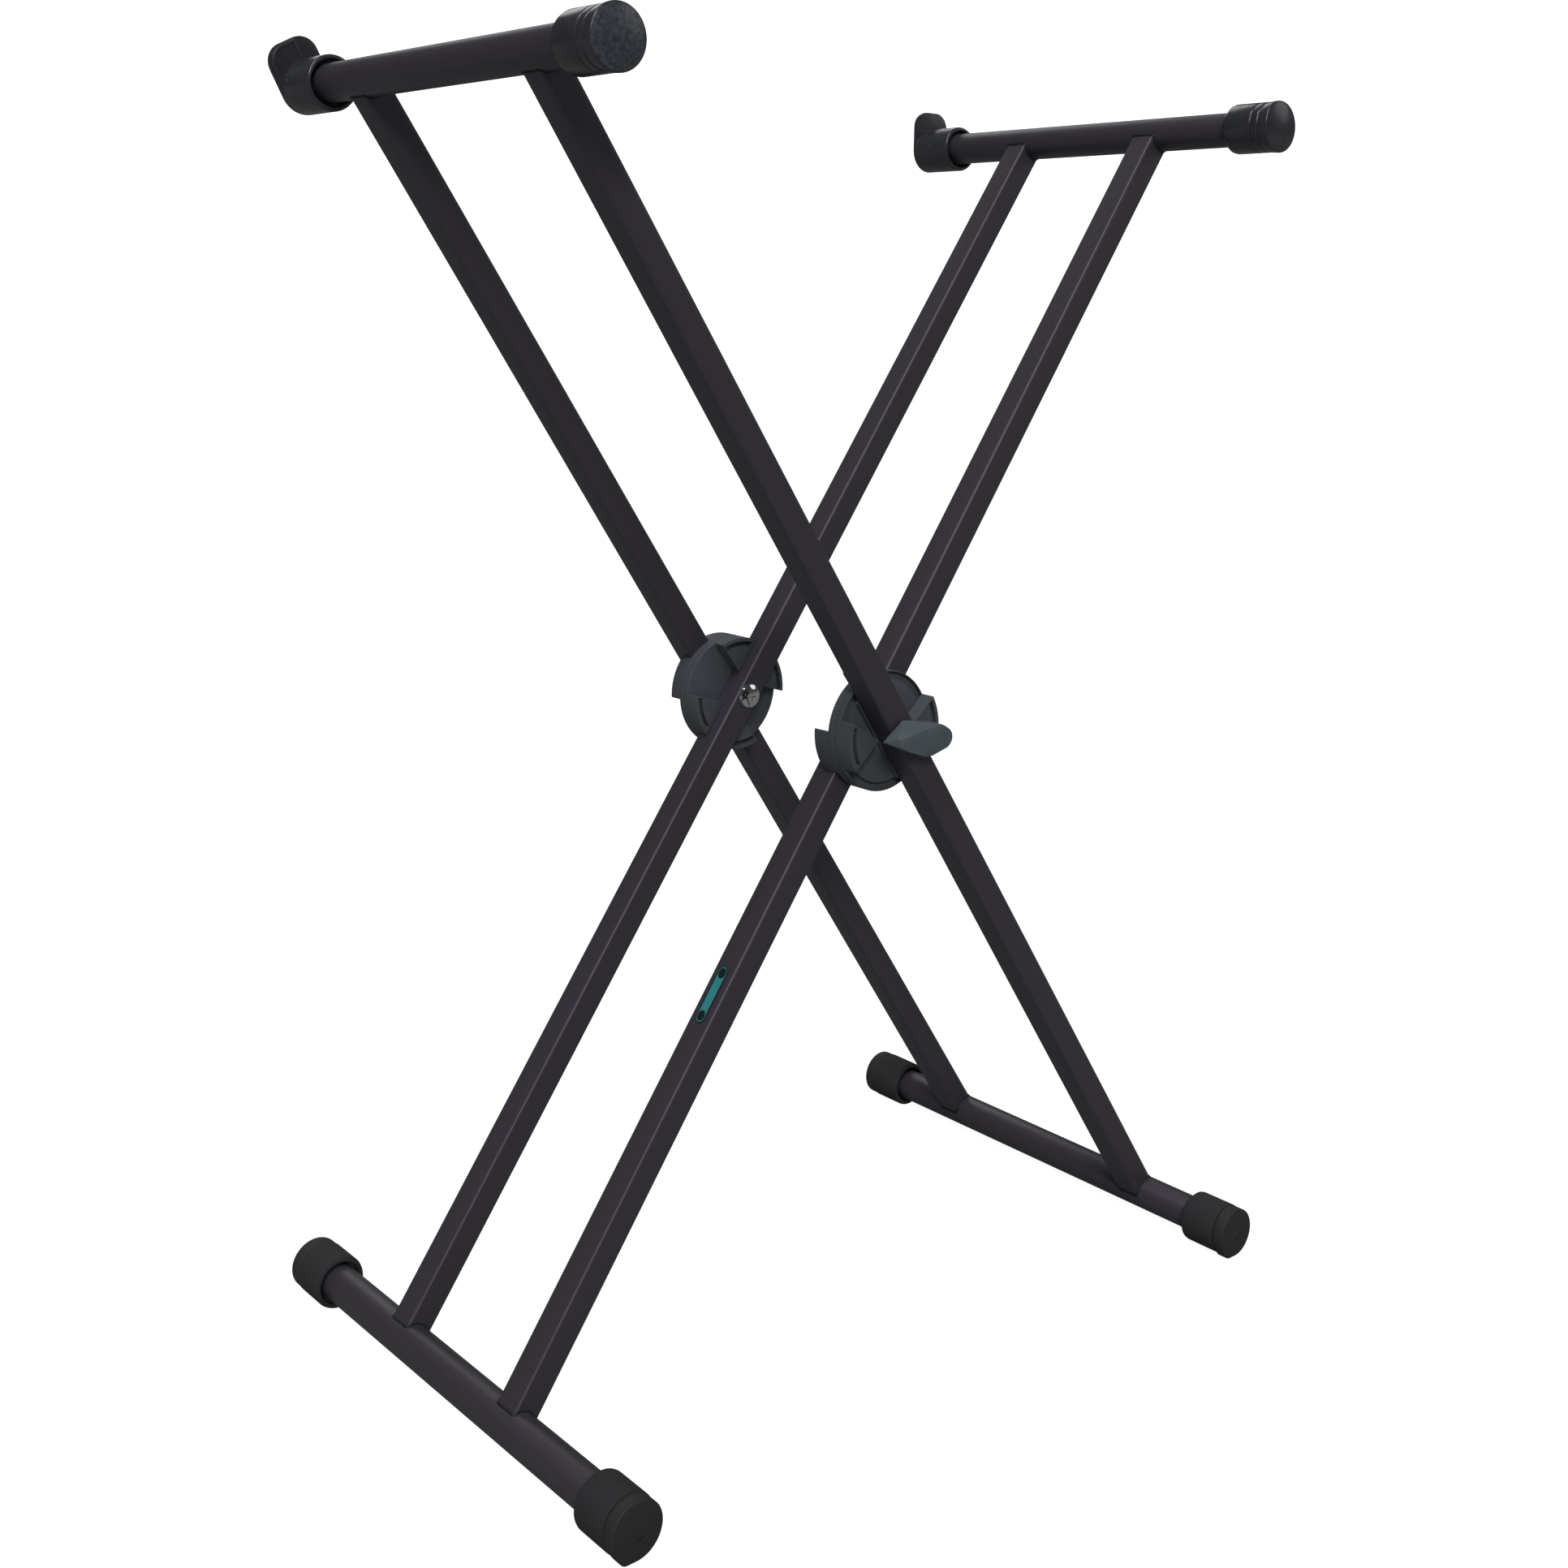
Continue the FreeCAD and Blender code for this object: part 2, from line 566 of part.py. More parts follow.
def corner_edge(edge):
    """Tell whether an edge is one of the flat outline's edges round the ring's corner."""
    level = edge.BoundBox.ZLength < TINY
    return level and edge.BoundBox.XMax > value("ring_corner - ring_corner_radius") + TINY


def draw_cornered_disc(sketch):
    """Draw a circle drawn out to one rounded corner along local X."""
    up = FreeCAD.Vector(0, 0, 1)
    offset = "(ring_corner - ring_corner_radius)"
    spread = value(f"acos((ring_radius - ring_corner_radius) / {offset})") * QUARTER / 90
    big = Part.Circle(FreeCAD.Vector(), up, value("ring_radius"))
    small = Part.Circle(FreeCAD.Vector(value(offset), 0, 0), up, value("ring_corner_radius"))
    sketch.addGeometry(Part.ArcOfCircle(big, spread, 4 * QUARTER - spread), False)
    sketch.addGeometry(Part.ArcOfCircle(small, -spread, spread), False)
    for first, second in ((0, 1), (1, 0)):
        start = sketch.getPoint(first, 2)
        line = sketch.addGeometry(Part.LineSegment(start, sketch.getPoint(second, 1)), False)
        sketch.addConstraint(Sketcher.Constraint("Tangent", first, 2, line, 1))
        sketch.addConstraint(Sketcher.Constraint("Tangent", line, 2, second, 1))
    sketch.addConstraint(Sketcher.Constraint("Coincident", 0, 3, -1, 1))
    sketch.addConstraint(Sketcher.Constraint("PointOnObject", 1, 3, -1))
    hold(sketch, "Radius", 0, size="ring_radius")
    hold(sketch, "Radius", 1, size="ring_corner_radius")
    hold(sketch, "DistanceX", -1, 1, 1, 3, size=offset)


# The two hubs


def make_shell(name, placement, half_gap, pad_height, rise, lobe_spans, slot_spans, has_groove=False):
    """Make a hub shell: local X runs along its arm, local Z from the seam to the arm."""
    floor = f"({half_gap} - {pad_height})"
    base = cylinder("hub_radius", f"{floor} - parting_gap / 2", "parting_gap / 2")
    hollow = [cylinder("cavity_radius", f"{floor} - hub_floor")]
    if has_groove:
        inside = cylinder("slot_inner", "groove_depth", f"{floor} - groove_depth")
        hollow.append(cut(cylinder("groove_outer", "groove_depth", f"{floor} - groove_depth"), inside))
    parts = [cut(base, *hollow)]
    if pad_height != "0":
        width = "(arm_side + 2 * saddle_margin)"
        saddle = box("2 * slot_inner", width, pad_height, z=floor)
        parts.append(overlap(saddle, cylinder("slot_inner", pad_height, floor)))
    height = f"({pad_height} + {rise})"
    wedges = join(*[sector("2 * hub_radius", height, floor, *span) for span in lobe_spans])
    lobes = overlap(wedges, cylinder("hub_radius", height, floor))
    lobes = cut(lobes, box("3 * hub_radius", "arm_side + 2 * channel_gap", height, z=floor))
    tall = value(height)
    lobes = soften("Fillet", lobes, "lobe_round", lambda edge: edge.BoundBox.DiagonalLength < tall + TINY
                   and edge.BoundBox.ZLength > tall - TINY)
    lobes = soften("Chamfer", lobes, "edge_break", flat_at(f"{floor} + {height}"))
    slot_floor = f"{floor} + {height} - slot_depth"
    slots = join(*[sector("slot_outer", "slot_depth", slot_floor, *span) for span in slot_spans])
    lobes = cut(lobes, cut(slots, cylinder("slot_inner", "slot_depth", slot_floor)))
    shell = cut(join(*parts, lobes), cylinder(f"{BUSH_RADIUS} + turning_fit", f"3 * {half_gap}", "0"))
    keep(shell, name, placement)


def both_ends(first, last, x="0", y="0"):
    """Return the turns and the tip of a sector, and of the same sector half a turn on."""
    return [(first, last, x, y), (f"{first} + 180", f"{last} + 180", f"0 - {x}", f"0 - {y}")]


def make_shells():
    paired_lobes = both_ends("0 - lobe_end", "lobe_end", "lobe_tip")
    paired_slots = both_ends("slot_start", "slot_end") + both_ends("0 - slot_end", "0 - slot_start")
    single_lobes = both_ends("outer_lobe_start", "outer_lobe_end", "outer_tip_along", "outer_tip_across")
    single_slots = both_ends("outer_slot_start", "outer_slot_end")
    outer_front = facing_near("0", f"0 - {FRONT_PARTING}", PIVOT_Z, "180 - arm_angle")
    inner_front = facing_far("0", f"0 - {FRONT_PARTING}", PIVOT_Z, "0 - arm_angle")
    inner_rear = facing_near("0", REAR_PARTING, PIVOT_Z, "arm_angle")
    outer_rear = facing_far("0", REAR_PARTING, PIVOT_Z, "arm_angle - 180")
    make_shell("front_hub_outer_shell", outer_front, FRONT_HALF_GAP, "saddle", "outer_lobe",
               single_lobes, single_slots, has_groove=True)
    make_shell("front_hub_inner_shell", inner_front, FRONT_HALF_GAP, "saddle", "lobe",
               paired_lobes, paired_slots)
    make_shell("rear_hub_inner_shell", inner_rear, REAR_HALF_GAP, "0", "lobe", paired_lobes, paired_slots)
    make_shell("rear_hub_outer_shell", outer_rear, REAR_HALF_GAP, "0", "lobe", paired_lobes, paired_slots)


def make_hub_insides():
    """Make the clutch discs, the disc spring and the bushes on the pivot axis."""
    hole = f"({BUSH_RADIUS} + plate_gap)"
    front_start = f"0 - {FRONT_PARTING} - {FRONT_CAVITY}"
    plate_place = facing_far("0", front_start, PIVOT_Z)
    make_ring("front_clutch_plate", "plate_radius", hole, "clutch_plate", plate_place)
    disc_place = facing_far("0", f"{front_start} + clutch_plate", PIVOT_Z)
    make_ring("front_friction_disc", "plate_radius", hole, "friction_disc", disc_place)
    make_disc_spring(facing_far("0", f"{front_start} + clutch_plate + friction_disc", PIVOT_Z))
    bush_place = facing_far("0", f"0 - {FRONT_PARTING} - {FRONT_HALF_GAP}", PIVOT_Z)
    make_ring("front_pivot_bush", BUSH_RADIUS, BOLT_HOLE, f"2 * {FRONT_HALF_GAP}", bush_place)
    rear_start = f"{REAR_PARTING} - {REAR_CAVITY}"
    plate_place = facing_far("0", rear_start, PIVOT_Z)
    make_ring("rear_clutch_plate", "plate_radius", hole, "rear_plate", plate_place)
    disc_place = facing_far("0", f"{rear_start} + rear_plate", PIVOT_Z)
    make_ring("rear_friction_disc", "plate_radius", hole, "friction_disc", disc_place)
    bush_place = facing_far("0", f"{REAR_PARTING} - {REAR_HALF_GAP}", PIVOT_Z)
    make_ring("rear_pivot_bush", BUSH_RADIUS, BOLT_HOLE, f"2 * {REAR_HALF_GAP}", bush_place)


def make_disc_spring(placement):
    """Make the coned disc spring that fills what the other discs leave of the front cavity."""
    body = new_body("front_disc_spring")
    profile = new_sketch(body, "XZ_Plane")
    draw_polygon(profile, [
        ("spring_hole", "spring_height - spring_plate"),
        ("plate_radius", "0"),
        ("plate_radius", "spring_plate"),
        ("spring_hole", "spring_height"),
    ])
    turned = body.newObject("PartDesign::Revolution", "turned")
    turned.Profile = profile
    turned.ReferenceAxis = (profile, ["V_Axis"])
    keep(body, "front_disc_spring", placement)


# Bolts, nuts, washers, release lever and badge


def make_bolt(name, placement, length):
    """Make a pivot bolt: a domed head below local Z = 0, with a cross recess, and its shank above."""
    body = new_body(name)
    profile = new_sketch(body, "XZ_Plane")
    draw_polygon(profile, [
        ("0", "0 - head_height"),
        *[(f"head_radius * {out}", f"0 - head_height * {up}") for out, up in HEAD_CURVE],
        ("head_radius", "0"),
        ("bolt_radius", "0"),
        ("bolt_radius", f"{length} - edge_break"),
        ("bolt_radius - edge_break", length),
        ("0", length),
    ])
    turned = body.newObject("PartDesign::Revolution", "turned")
    turned.Profile = profile
    turned.ReferenceAxis = (profile, ["V_Axis"])
    recess = new_sketch(body, "XY_Plane", "0 - head_height")
    half, arm = "recess_width / 2", "recess_span / 2"
    draw_polygon(recess, [
        (half, arm), (f"0 - {half}", arm), (f"0 - {half}", half), (f"0 - {arm}", half),
        (f"0 - {arm}", f"0 - {half}"), (f"0 - {half}", f"0 - {half}"), (f"0 - {half}", f"0 - {arm}"),
        (half, f"0 - {arm}"), (half, f"0 - {half}"), (arm, f"0 - {half}"), (arm, half), (half, half),
    ])
    pocket(body, recess, "recess_depth", reverse=True)
    keep(body, name, placement)


def make_nut(name, placement):
    body = new_body(name)
    profile = new_sketch(body, "XY_Plane")
    draw_hexagon(profile, "nut_side / 2")
    draw_circle(profile, BOLT_HOLE)
    pad(body, profile, "nut_height")
    keep(body, name, placement)


def draw_hexagon(sketch, inner):
    """Draw a hexagon with two level sides; inner is the radius of its inscribed circle."""
    across = f"({inner}) / cos(30)"
    draw_polygon(sketch, [
        (across, "0"), (f"{across} / 2", inner), (f"0 - {across} / 2", inner),
        (f"0 - {across}", "0"), (f"0 - {across} / 2", f"0 - {inner}"), (f"{across} / 2", f"0 - {inner}"),
    ])


def make_lever():
    """Make the leaf-shaped release lever: a pointed end, a broad round end and a slanting ridge."""
    body = new_body("release_lever")
    back = new_sketch(body, "XY_Plane")
    draw_polygon(back, [
        ("0 - lever_tip", "0"),
        *[(f"lever_peak * {across}", f"lever_peak * {up}") for across, up in LEVER_UPPER],
        *[(f"lever_end * {across}", f"lever_peak * {up}") for across, up in LEVER_BROAD],
        *[(f"lever_peak * {across}", f"lever_peak * {up}") for across, up in LEVER_LOWER],
    ])
    pad(body, back, "lever_depth")
    dress(body, "Fillet", "lever_round", broad_end)
    nut_pocket = new_sketch(body, "XY_Plane")
    draw_hexagon(nut_pocket, "(nut_side / 2 + nut_fit)")
    pocket(body, nut_pocket, "nut_height", reverse=True)
    bolt_end = new_sketch(body, "XY_Plane")
    draw_circle(bolt_end, "bolt_radius + edge_break / 2")
    pocket(body, bolt_end, "nut_height + bolt_tail + edge_break", reverse=True)
    across, up = LEVER_UPPER[0]
    upper = slanted_block(f"lever_peak * {across}", f"lever_peak * {up}", "ridge_turn", "ridge_slope")
    nose = slanted_block("0 - lever_tip", "0", "nose_turn", "nose_slope")
    lever = cut(body, upper, nose)
    keep(lever, "release_lever", facing_near("0", f"0 - {LEVER_BACK}", PIVOT_Z))


def slanted_block(x, y, turn, slope):
    """Make a block whose face rises from a point of the lever's back edge and leans inwards."""
    piece = doc.addObject("Part::Box", "block")
    bind(piece, Length="4 * lever_end", Width="lever_end", Height="2 * lever_end")
    place = at(x, y, "0", ("0; 0; 1", turn), ("1; 0; 0", slope))
    shift = at("0 - 2 * lever_end", "0", "0")
    bind(piece, Placement=f"{place} * {shift}")
    return piece


def broad_end(edge):
    """Tell whether an edge is one of the lever's cross edges at its broad end."""
    ends = edge.BoundBox
    return ends.ZLength > value("lever_depth") - TINY and ends.XMin > value("lever_peak / 4")


def make_badge():
    """Make the bare pill-shaped badge on the inner front arm's upper left face."""
    body = new_body("badge")
    outline = new_sketch(body, "XY_Plane")
    half = "(badge_length / 2 - badge_width / 2)"
    up = FreeCAD.Vector(0, 0, 1)
    radius = value("badge_width / 2")
    for side in (1, -1):
        circle = Part.Circle(FreeCAD.Vector(side * value(half), 0, 0), up, radius)
        outline.addGeometry(Part.ArcOfCircle(circle, -side * QUARTER, (2 - side) * QUARTER), False)
    for first, second in ((0, 1), (1, 0)):
        start = outline.getPoint(first, 2)
        line = outline.addGeometry(Part.LineSegment(start, outline.getPoint(second, 1)), False)
        outline.addConstraint(Sketcher.Constraint("Tangent", first, 2, line, 1))
        outline.addConstraint(Sketcher.Constraint("Tangent", line, 2, second, 1))
    outline.addConstraint(Sketcher.Constraint("PointOnObject", 0, 3, -1))
    outline.addConstraint(Sketcher.Constraint("Symmetric", 0, 3, 1, 3, -1, 1))
    hold(outline, "Radius", 0, size="badge_width / 2")
    hold(outline, "DistanceX", -1, 1, 0, 3, size=half)
    pad(body, outline, "badge_plate")
    x = f"0 - badge_drop * cos(arm_angle) - {ARM_HALF} * sin(arm_angle)"
    z = f"{PIVOT_Z} - badge_drop * sin(arm_angle) + {ARM_HALF} * cos(arm_angle)"
    keep(body, "badge", at(x, "0 - inner_front_reach", z, ("0; 1; 0", "0 - arm_angle")))


def make_fasteners():
    """Make the pivot bolts with their nuts and washers, from the heads on the inner arms outwards."""
    front_stack = f"({LEVER_BACK} - inner_front_reach + {ARM_HALF} + nut_height + bolt_tail)"
    make_bolt("front_pivot_bolt", facing_near("0", f"{ARM_HALF} - inner_front_reach", PIVOT_Z), front_stack)
    make_nut("lever_nut", facing_near("0", f"0 - {LEVER_BACK}", PIVOT_Z))
    washer_place = facing_near("0", f"washer_plate - {LEVER_BACK}", PIVOT_Z)
    make_ring("thrust_washer", "washer_radius", BOLT_HOLE, "washer_plate", washer_place)
    rear_face = f"({REACHES['outer_rear']} + {ARM_HALF})"
    rear_stack = f"({rear_face} - inner_rear_reach + {ARM_HALF} + washer_plate + nut_height + bolt_tail)"
    make_bolt("rear_pivot_bolt", facing_far("0", f"inner_rear_reach - {ARM_HALF}", PIVOT_Z), rear_stack)
    make_ring("rear_washer", "washer_radius", BOLT_HOLE, "washer_plate", facing_far("0", rear_face, PIVOT_Z))
    make_nut("rear_lock_nut", facing_far("0", f"{rear_face} + washer_plate", PIVOT_Z))


def make_stand():
    make_frame("outer", "1", "arm_angle - 90")
    make_frame("inner", "-1", "90 - arm_angle")
    for frame, side in (("outer", "1"), ("inner", "-1")):
        foot_x = f"{side} * {FOOT_X}"
        top_x = f"-1 * {side} * {TOP_X}"
        make_top_cap(f"{frame}_top_cap", top_x)
        is_outer = frame == "outer"
        lean = "0 - outer_stop_lean" if is_outer else "0"
        make_stop(f"{frame}_keyboard_stop", top_x, f"{frame}_stop_reach", lean, is_outer)
        ends = (("near", facing_near, "-1", "-118"), ("far", facing_far, "1", "60"))
        for end, facing, sign, turn in ends:
            make_foot_sleeve(f"{frame}_{end}_foot_sleeve", foot_x, facing, sign)
            make_levelling_ring(f"{frame}_{end}_levelling_ring", foot_x, facing, sign, turn)
    make_shells()
    make_hub_insides()
    make_fasteners()
    make_lever()
    make_badge()


def export_pieces():
    """Check every object, then write each piece to its own file."""
    doc.recompute()
    for thing in doc.Objects:
        if "Invalid" in thing.State or "Error" in thing.State:
            raise RuntimeError(f"{thing.Label} failed: {thing.State}")
    for piece in pieces:
        shape = piece.Shape
        if shape.isNull() or not shape.isValid() or len(shape.Solids) != 1:
            raise RuntimeError(f"{piece.Label} is not one valid solid")
    os.makedirs("parts", exist_ok=True)
    for piece in pieces:
        piece.Shape.exportStep(f"parts/{piece.Label}.step")
    print(f"{len(pieces)} pieces written")


make_stand()
export_pieces()
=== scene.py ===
"""The looks of a folding keyboard stand: two welded X frames on one pivot axis.

Metres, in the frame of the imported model. Each piece is shaped in its own upright frame, where
local Z points out along the round tubes and local Y points up, and is then put in its place.
"""

import json
import math
from typing import NamedTuple

import bmesh
import bpy
from bpy.props import FloatProperty, FloatVectorProperty, IntProperty, PointerProperty
from mathutils import Matrix, Vector


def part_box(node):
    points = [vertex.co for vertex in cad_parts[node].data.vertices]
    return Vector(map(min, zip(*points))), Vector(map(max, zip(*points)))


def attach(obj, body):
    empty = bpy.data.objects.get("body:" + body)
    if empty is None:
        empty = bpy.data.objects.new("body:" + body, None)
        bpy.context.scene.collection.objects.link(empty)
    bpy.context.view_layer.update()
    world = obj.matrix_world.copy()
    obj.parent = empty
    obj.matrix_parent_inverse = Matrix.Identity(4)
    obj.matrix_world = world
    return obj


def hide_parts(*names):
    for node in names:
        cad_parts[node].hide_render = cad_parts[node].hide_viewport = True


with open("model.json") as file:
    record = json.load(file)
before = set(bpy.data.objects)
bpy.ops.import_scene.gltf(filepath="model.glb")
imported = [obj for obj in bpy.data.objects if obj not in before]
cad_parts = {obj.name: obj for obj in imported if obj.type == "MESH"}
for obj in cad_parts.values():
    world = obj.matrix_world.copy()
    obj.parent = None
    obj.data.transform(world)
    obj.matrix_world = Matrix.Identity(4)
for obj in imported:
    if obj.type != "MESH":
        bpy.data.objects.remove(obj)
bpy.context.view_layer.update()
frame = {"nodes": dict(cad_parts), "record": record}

bl_info = {
    "name": "Folding keyboard stand",
    "version": (1, 0, 0),
    "blender": (4, 5, 0),
    "location": "View3D > Sidebar > Stand",
    "description": "Dresses the packed keyboard stand with detailed pieces and finishes",
    "category": "Object",
}

MM = 0.001
FULL_TURN = 2 * math.pi
QUARTER_TURN = math.pi / 2
UP = Vector((0, 0, 1))
SAME_PLACE = 0.002 * MM
SHARP = math.radians(32)
NEAR, FAR = -1, 1
ENDS = {"near": NEAR, "far": FAR}
ARM_ENDS = ("front", "rear")
FRAMES = ("outer", "inner")
WHITE = (1.0, 1.0, 1.0, 1.0)
SLEEVE_FIT = 0.1 * MM
TURNING_FIT = 0.08 * MM
OVERRUN = MM
MARGIN = 0.1 * MM
SQUARE = ((-1, -1), (1, -1), (1, 1), (-1, 1))


# Settings


def length(name, description, millimetres):
    return FloatProperty(name=name, description=description, default=millimetres * MM, min=0.0,
                         subtype="DISTANCE", unit="LENGTH", precision=5)


def angle(name, description, degrees):
    return FloatProperty(name=name, description=description, default=math.radians(degrees),
                         subtype="ANGLE")


def amount(name, description, value):
    return FloatProperty(name=name, description=description, default=value, min=0.0)


def colour(name, description, value):
    return FloatVectorProperty(name=name, description=description, default=value, min=0.0, max=1.0,
                               subtype="COLOR")


def group(kind, name, description):
    return PointerProperty(type=kind, name=name, description=description)


def share(name, description, value):
    return FloatProperty(name=name, description=description, default=value, min=0.0, max=1.0,
                         subtype="FACTOR")


class FrameSettings(bpy.types.PropertyGroup):
    arm_corner: length("Arm corner", "Outside corner radius of the square arm tube", 2.0)
    tube_wall: length("Tube wall", "Wall of the round tubes", 1.5)
    tube_edge: length("Tube edge", "Rounding of the round tubes' ends", 0.3)
    bead: length("Weld bead", "Radius of the weld bead round an arm's end", 0.9)
    ripple: share("Weld ripple", "Unevenness of the weld bead", 0.16)


class CapSettings(bpy.types.PropertyGroup):
    wall: length("Wall", "Wall of a top cap", 5.5)
    flare: length("Flare", "Extra radius at the cap's rim", 0.5)
    shoulder: length("Shoulder", "Rounding of the cap's mouth", 4.0)
    dome: length("Dome", "Rise of the cap's closed end", 3.0)
    rim_round: length("Rim rounding", "Rounding between the cap's side and its closed end", 1.1)
    groove_depth: length("Groove depth", "Depth of the grooves round the cap", 0.8)
    groove_width: length("Groove width", "Width of the grooves round the cap", 1.4)
    groove_round: length("Groove rounding", "Rounding of a groove's edge towards the mouth", 0.85)
    groove_rim_round: length("Groove rim rounding", "Rounding of its other edge", 0.35)
    groove_floor_round: length("Groove floor rounding", "Rounding of its floor", 0.2)
    bore_edge: length("Bore edge", "Rounding of the mouth's inner edge", 0.4)
    end_inset: length("End inset", "Rim to the end's own skin", 0.6)
    first_groove: length("First groove", "Cap mouth to the first groove", 24.0)
    second_groove: length("Second groove", "Cap mouth to the second groove", 30.5)


class StopSettings(bpy.types.PropertyGroup):
    flange: length("Flange", "Thickness of the tab", 3.0)
    corner: length("Tab corner", "Corner radius of the tab", 13.0)
    lean: angle("Outer tab lean", "Lean of the outer stop's tab from upright", 28.0)
    mouth_gap: length("Mouth gap", "Hollow round the tube in the sleeve's mouth", 2.8)
    mouth_depth: length("Mouth depth", "Depth of that hollow", 7.0)
    lip: length("Lip", "Rounding of the sleeve's mouth", 1.9)
    inner_lip: length("Inner lip", "Rounding of the mouth's inner edge", 0.6)
    flange_cover: length("Flange cover", "Tab beyond the sleeve's own end", 0.5)
    block_rise: length("Block rise", "Raised half of the outer tab above its other half", 2.5)
    block_margin: length("Block margin", "Tab's edge to that raised half", 0.9)
    block_edge: length("Block edge", "Tube axis to the raised half's inner edge", 4.8)
    edge: length("Edge", "Rounding of the tab's edges", 0.8)
    panel_depth: length("Panel depth", "Depth of the bare panel in the raised half", 0.5)
    panel_margin: length("Panel margin", "Edge left round that panel", 1.8)
    panel_foot: length("Panel foot", "Tube axis to the panel's lower edge", 17.5)


class FootSettings(bpy.types.PropertyGroup):
    shoulder: length("Shoulder", "Rounding of a foot sleeve's mouth", 3.0)
    mouth_gap: length("Mouth gap", "Hollow round the tube in the sleeve's mouth", 2.8)
    mouth_depth: length("Mouth depth", "Depth of that hollow", 7.0)
    end_wall: length("End wall", "End wall of a foot sleeve", 3.0)
    edge: length("Edge", "Rounding of the sleeve's closed end", 0.7)
    ring_radius: length("Ring radius", "Round side of a levelling ring", 18.4)
    ring_corner: length("Ring corner", "Reach of a levelling ring's corner", 19.9)
    corner_radius: length("Corner radius", "Rounding of that corner", 6.0)
    ring_edge: length("Ring edge", "Rounding of a levelling ring's rim", 0.9)
    ring_gap: length("Ring gap", "Foot sleeve to levelling ring", 0.4)
    spigot: length("Spigot", "Radius of the pin that a levelling ring turns on", 6.0)
    spigot_reach: length("Spigot reach", "Length of that pin", 7.0)
    mark_radius: length("Mark radius", "Radius of the curved mould mark in a ring's end face", 1.5)
    mark_width: length("Mark width", "Width of that mark", 1.0)
    mark_depth: length("Mark depth", "Depth of that mark", 0.8)


class HubSettings(bpy.types.PropertyGroup):
    floor: length("Floor", "Floor of a hub shell", 2.0)
    saddle: length("Saddle", "Pad under the arm on a front hub shell", 3.5)
    saddle_margin: length("Saddle margin", "Saddle beyond each side of the arm", 0.5)
    cavity: length("Cavity", "Inside radius of the hub shells", 34.5)
    seam: length("Seam", "Seam between two hub shells", 0.3)
    channel_gap: length("Channel gap", "Arm to the lobes that flank it", 0.3)
    tip_along: length("Tip along", "Pivot axis to the front outer lobes' tip, along the arm", 6.5)
    tip_across: length("Tip across", "Pivot axis to that tip, across the arm", 14.0)
    single_start: angle("Single start", "Turn of those lobes' first wall from the arm", 24.0)
    single_end: angle("Single end", "Turn of their last wall from the arm", 99.0)
    single_slot_start: angle("Single slot start", "Start of those lobes' slots from the arm", 42.5)
    single_slot_end: angle("Single slot end", "End of those slots from the arm", 83.5)
    paired_tip: length("Paired tip", "Pivot axis to where the other lobes' walls meet", 9.7)
    paired_end: angle("Paired end", "Turn of those walls from the arm", 72.0)
    slot_start: angle("Slot start", "Start of the other lobes' slots from the arm", 19.0)
    slot_end: angle("Slot end", "End of those slots from the arm", 56.5)
    lobe_round: length("Lobe rounding", "Rounding of a lobe's upright corners", 2.0)
    edge: length("Edge", "Rounding of the shells' edges", 0.45)
    slot_inner: length("Slot inside", "Inside radius of the arc slots and the ring groove", 36.0)
    slot_outer: length("Slot outside", "Outside radius of the arc slots", 39.3)
    slot_depth: length("Slot depth", "Depth of the arc slots", 4.0)
    groove_outer: length("Groove outside", "Outside radius of the ring groove", 41.2)
    groove_depth: length("Groove depth", "Depth of the ring groove", 3.0)
    groove_edge: length("Groove edge", "Rounding of the ring groove's outer edge", 0.2)
    groove_rim: length("Groove rim", "Rounding of the shell's rim beside that groove", 0.25)
    seam_edge: length("Seam edge", "Rounding at the seam and of the groove's inner edge", 0.3)
    bore: length("Bore", "Hole round the pivot bush", 7.16)


class LeverSettings(bpy.types.PropertyGroup):
    tip: length("Tip", "Pivot axis to the lever's pointed end", 25.5)
    end: length("End", "Pivot axis to the lever's round end", 31.0)
    peak: length("Peak", "Pivot axis to the lever's upper and lower edges", 13.0)
    rounding: length("Rounding", "Rounding of the lever's broad end", 6.0)
    ridge_turn: angle("Ridge turn", "Turn of the lever's ridge from level", 10.0)
    ridge_slope: angle("Ridge slope", "Lean of the facet above the ridge", 36.0)
    nose_turn: angle("Nose turn", "Turn of the facet at the pointed end", 110.0)
    nose_slope: angle("Nose slope", "Lean of that facet", 30.0)
    edge: length("Edge", "Rounding of the lever's edges", 0.5)


class FastenerSettings(bpy.types.PropertyGroup):
    shank: length("Shank", "Radius of a pivot bolt's shank", 4.0)
    head_height: length("Head height", "Height of a bolt's domed head", 4.2)
    recess_width: length("Recess width", "Arm of the cross recess", 1.6)
    recess_span: length("Recess span", "Length of the cross recess", 7.0)
    recess_depth: length("Recess depth", "Depth of the cross recess", 1.8)
    head_edge: length("Head edge", "Rounding of a bolt head's rim", 0.15)
    shank_end: length("Shank end", "Rounding of a bolt shank's end", 0.6)
    edge: length("Edge", "Rounding of the washers' edges", 0.25)


class BadgeSettings(bpy.types.PropertyGroup):
    depth: length("Depth", "Thickness of the badge with its ovals", 0.8)
    edge: length("Edge", "Rounding of the badge's edges", 0.12)
    field_sink: length("Field sink", "Part of the field inside the plate", 0.05)
    field_rise: length("Field rise", "Part of the field above the plate", 0.06)
    border: length("Border", "Width of the badge's plain border", 0.7)
    relief: length("Relief", "Height of the badge's plain ovals", 0.15)


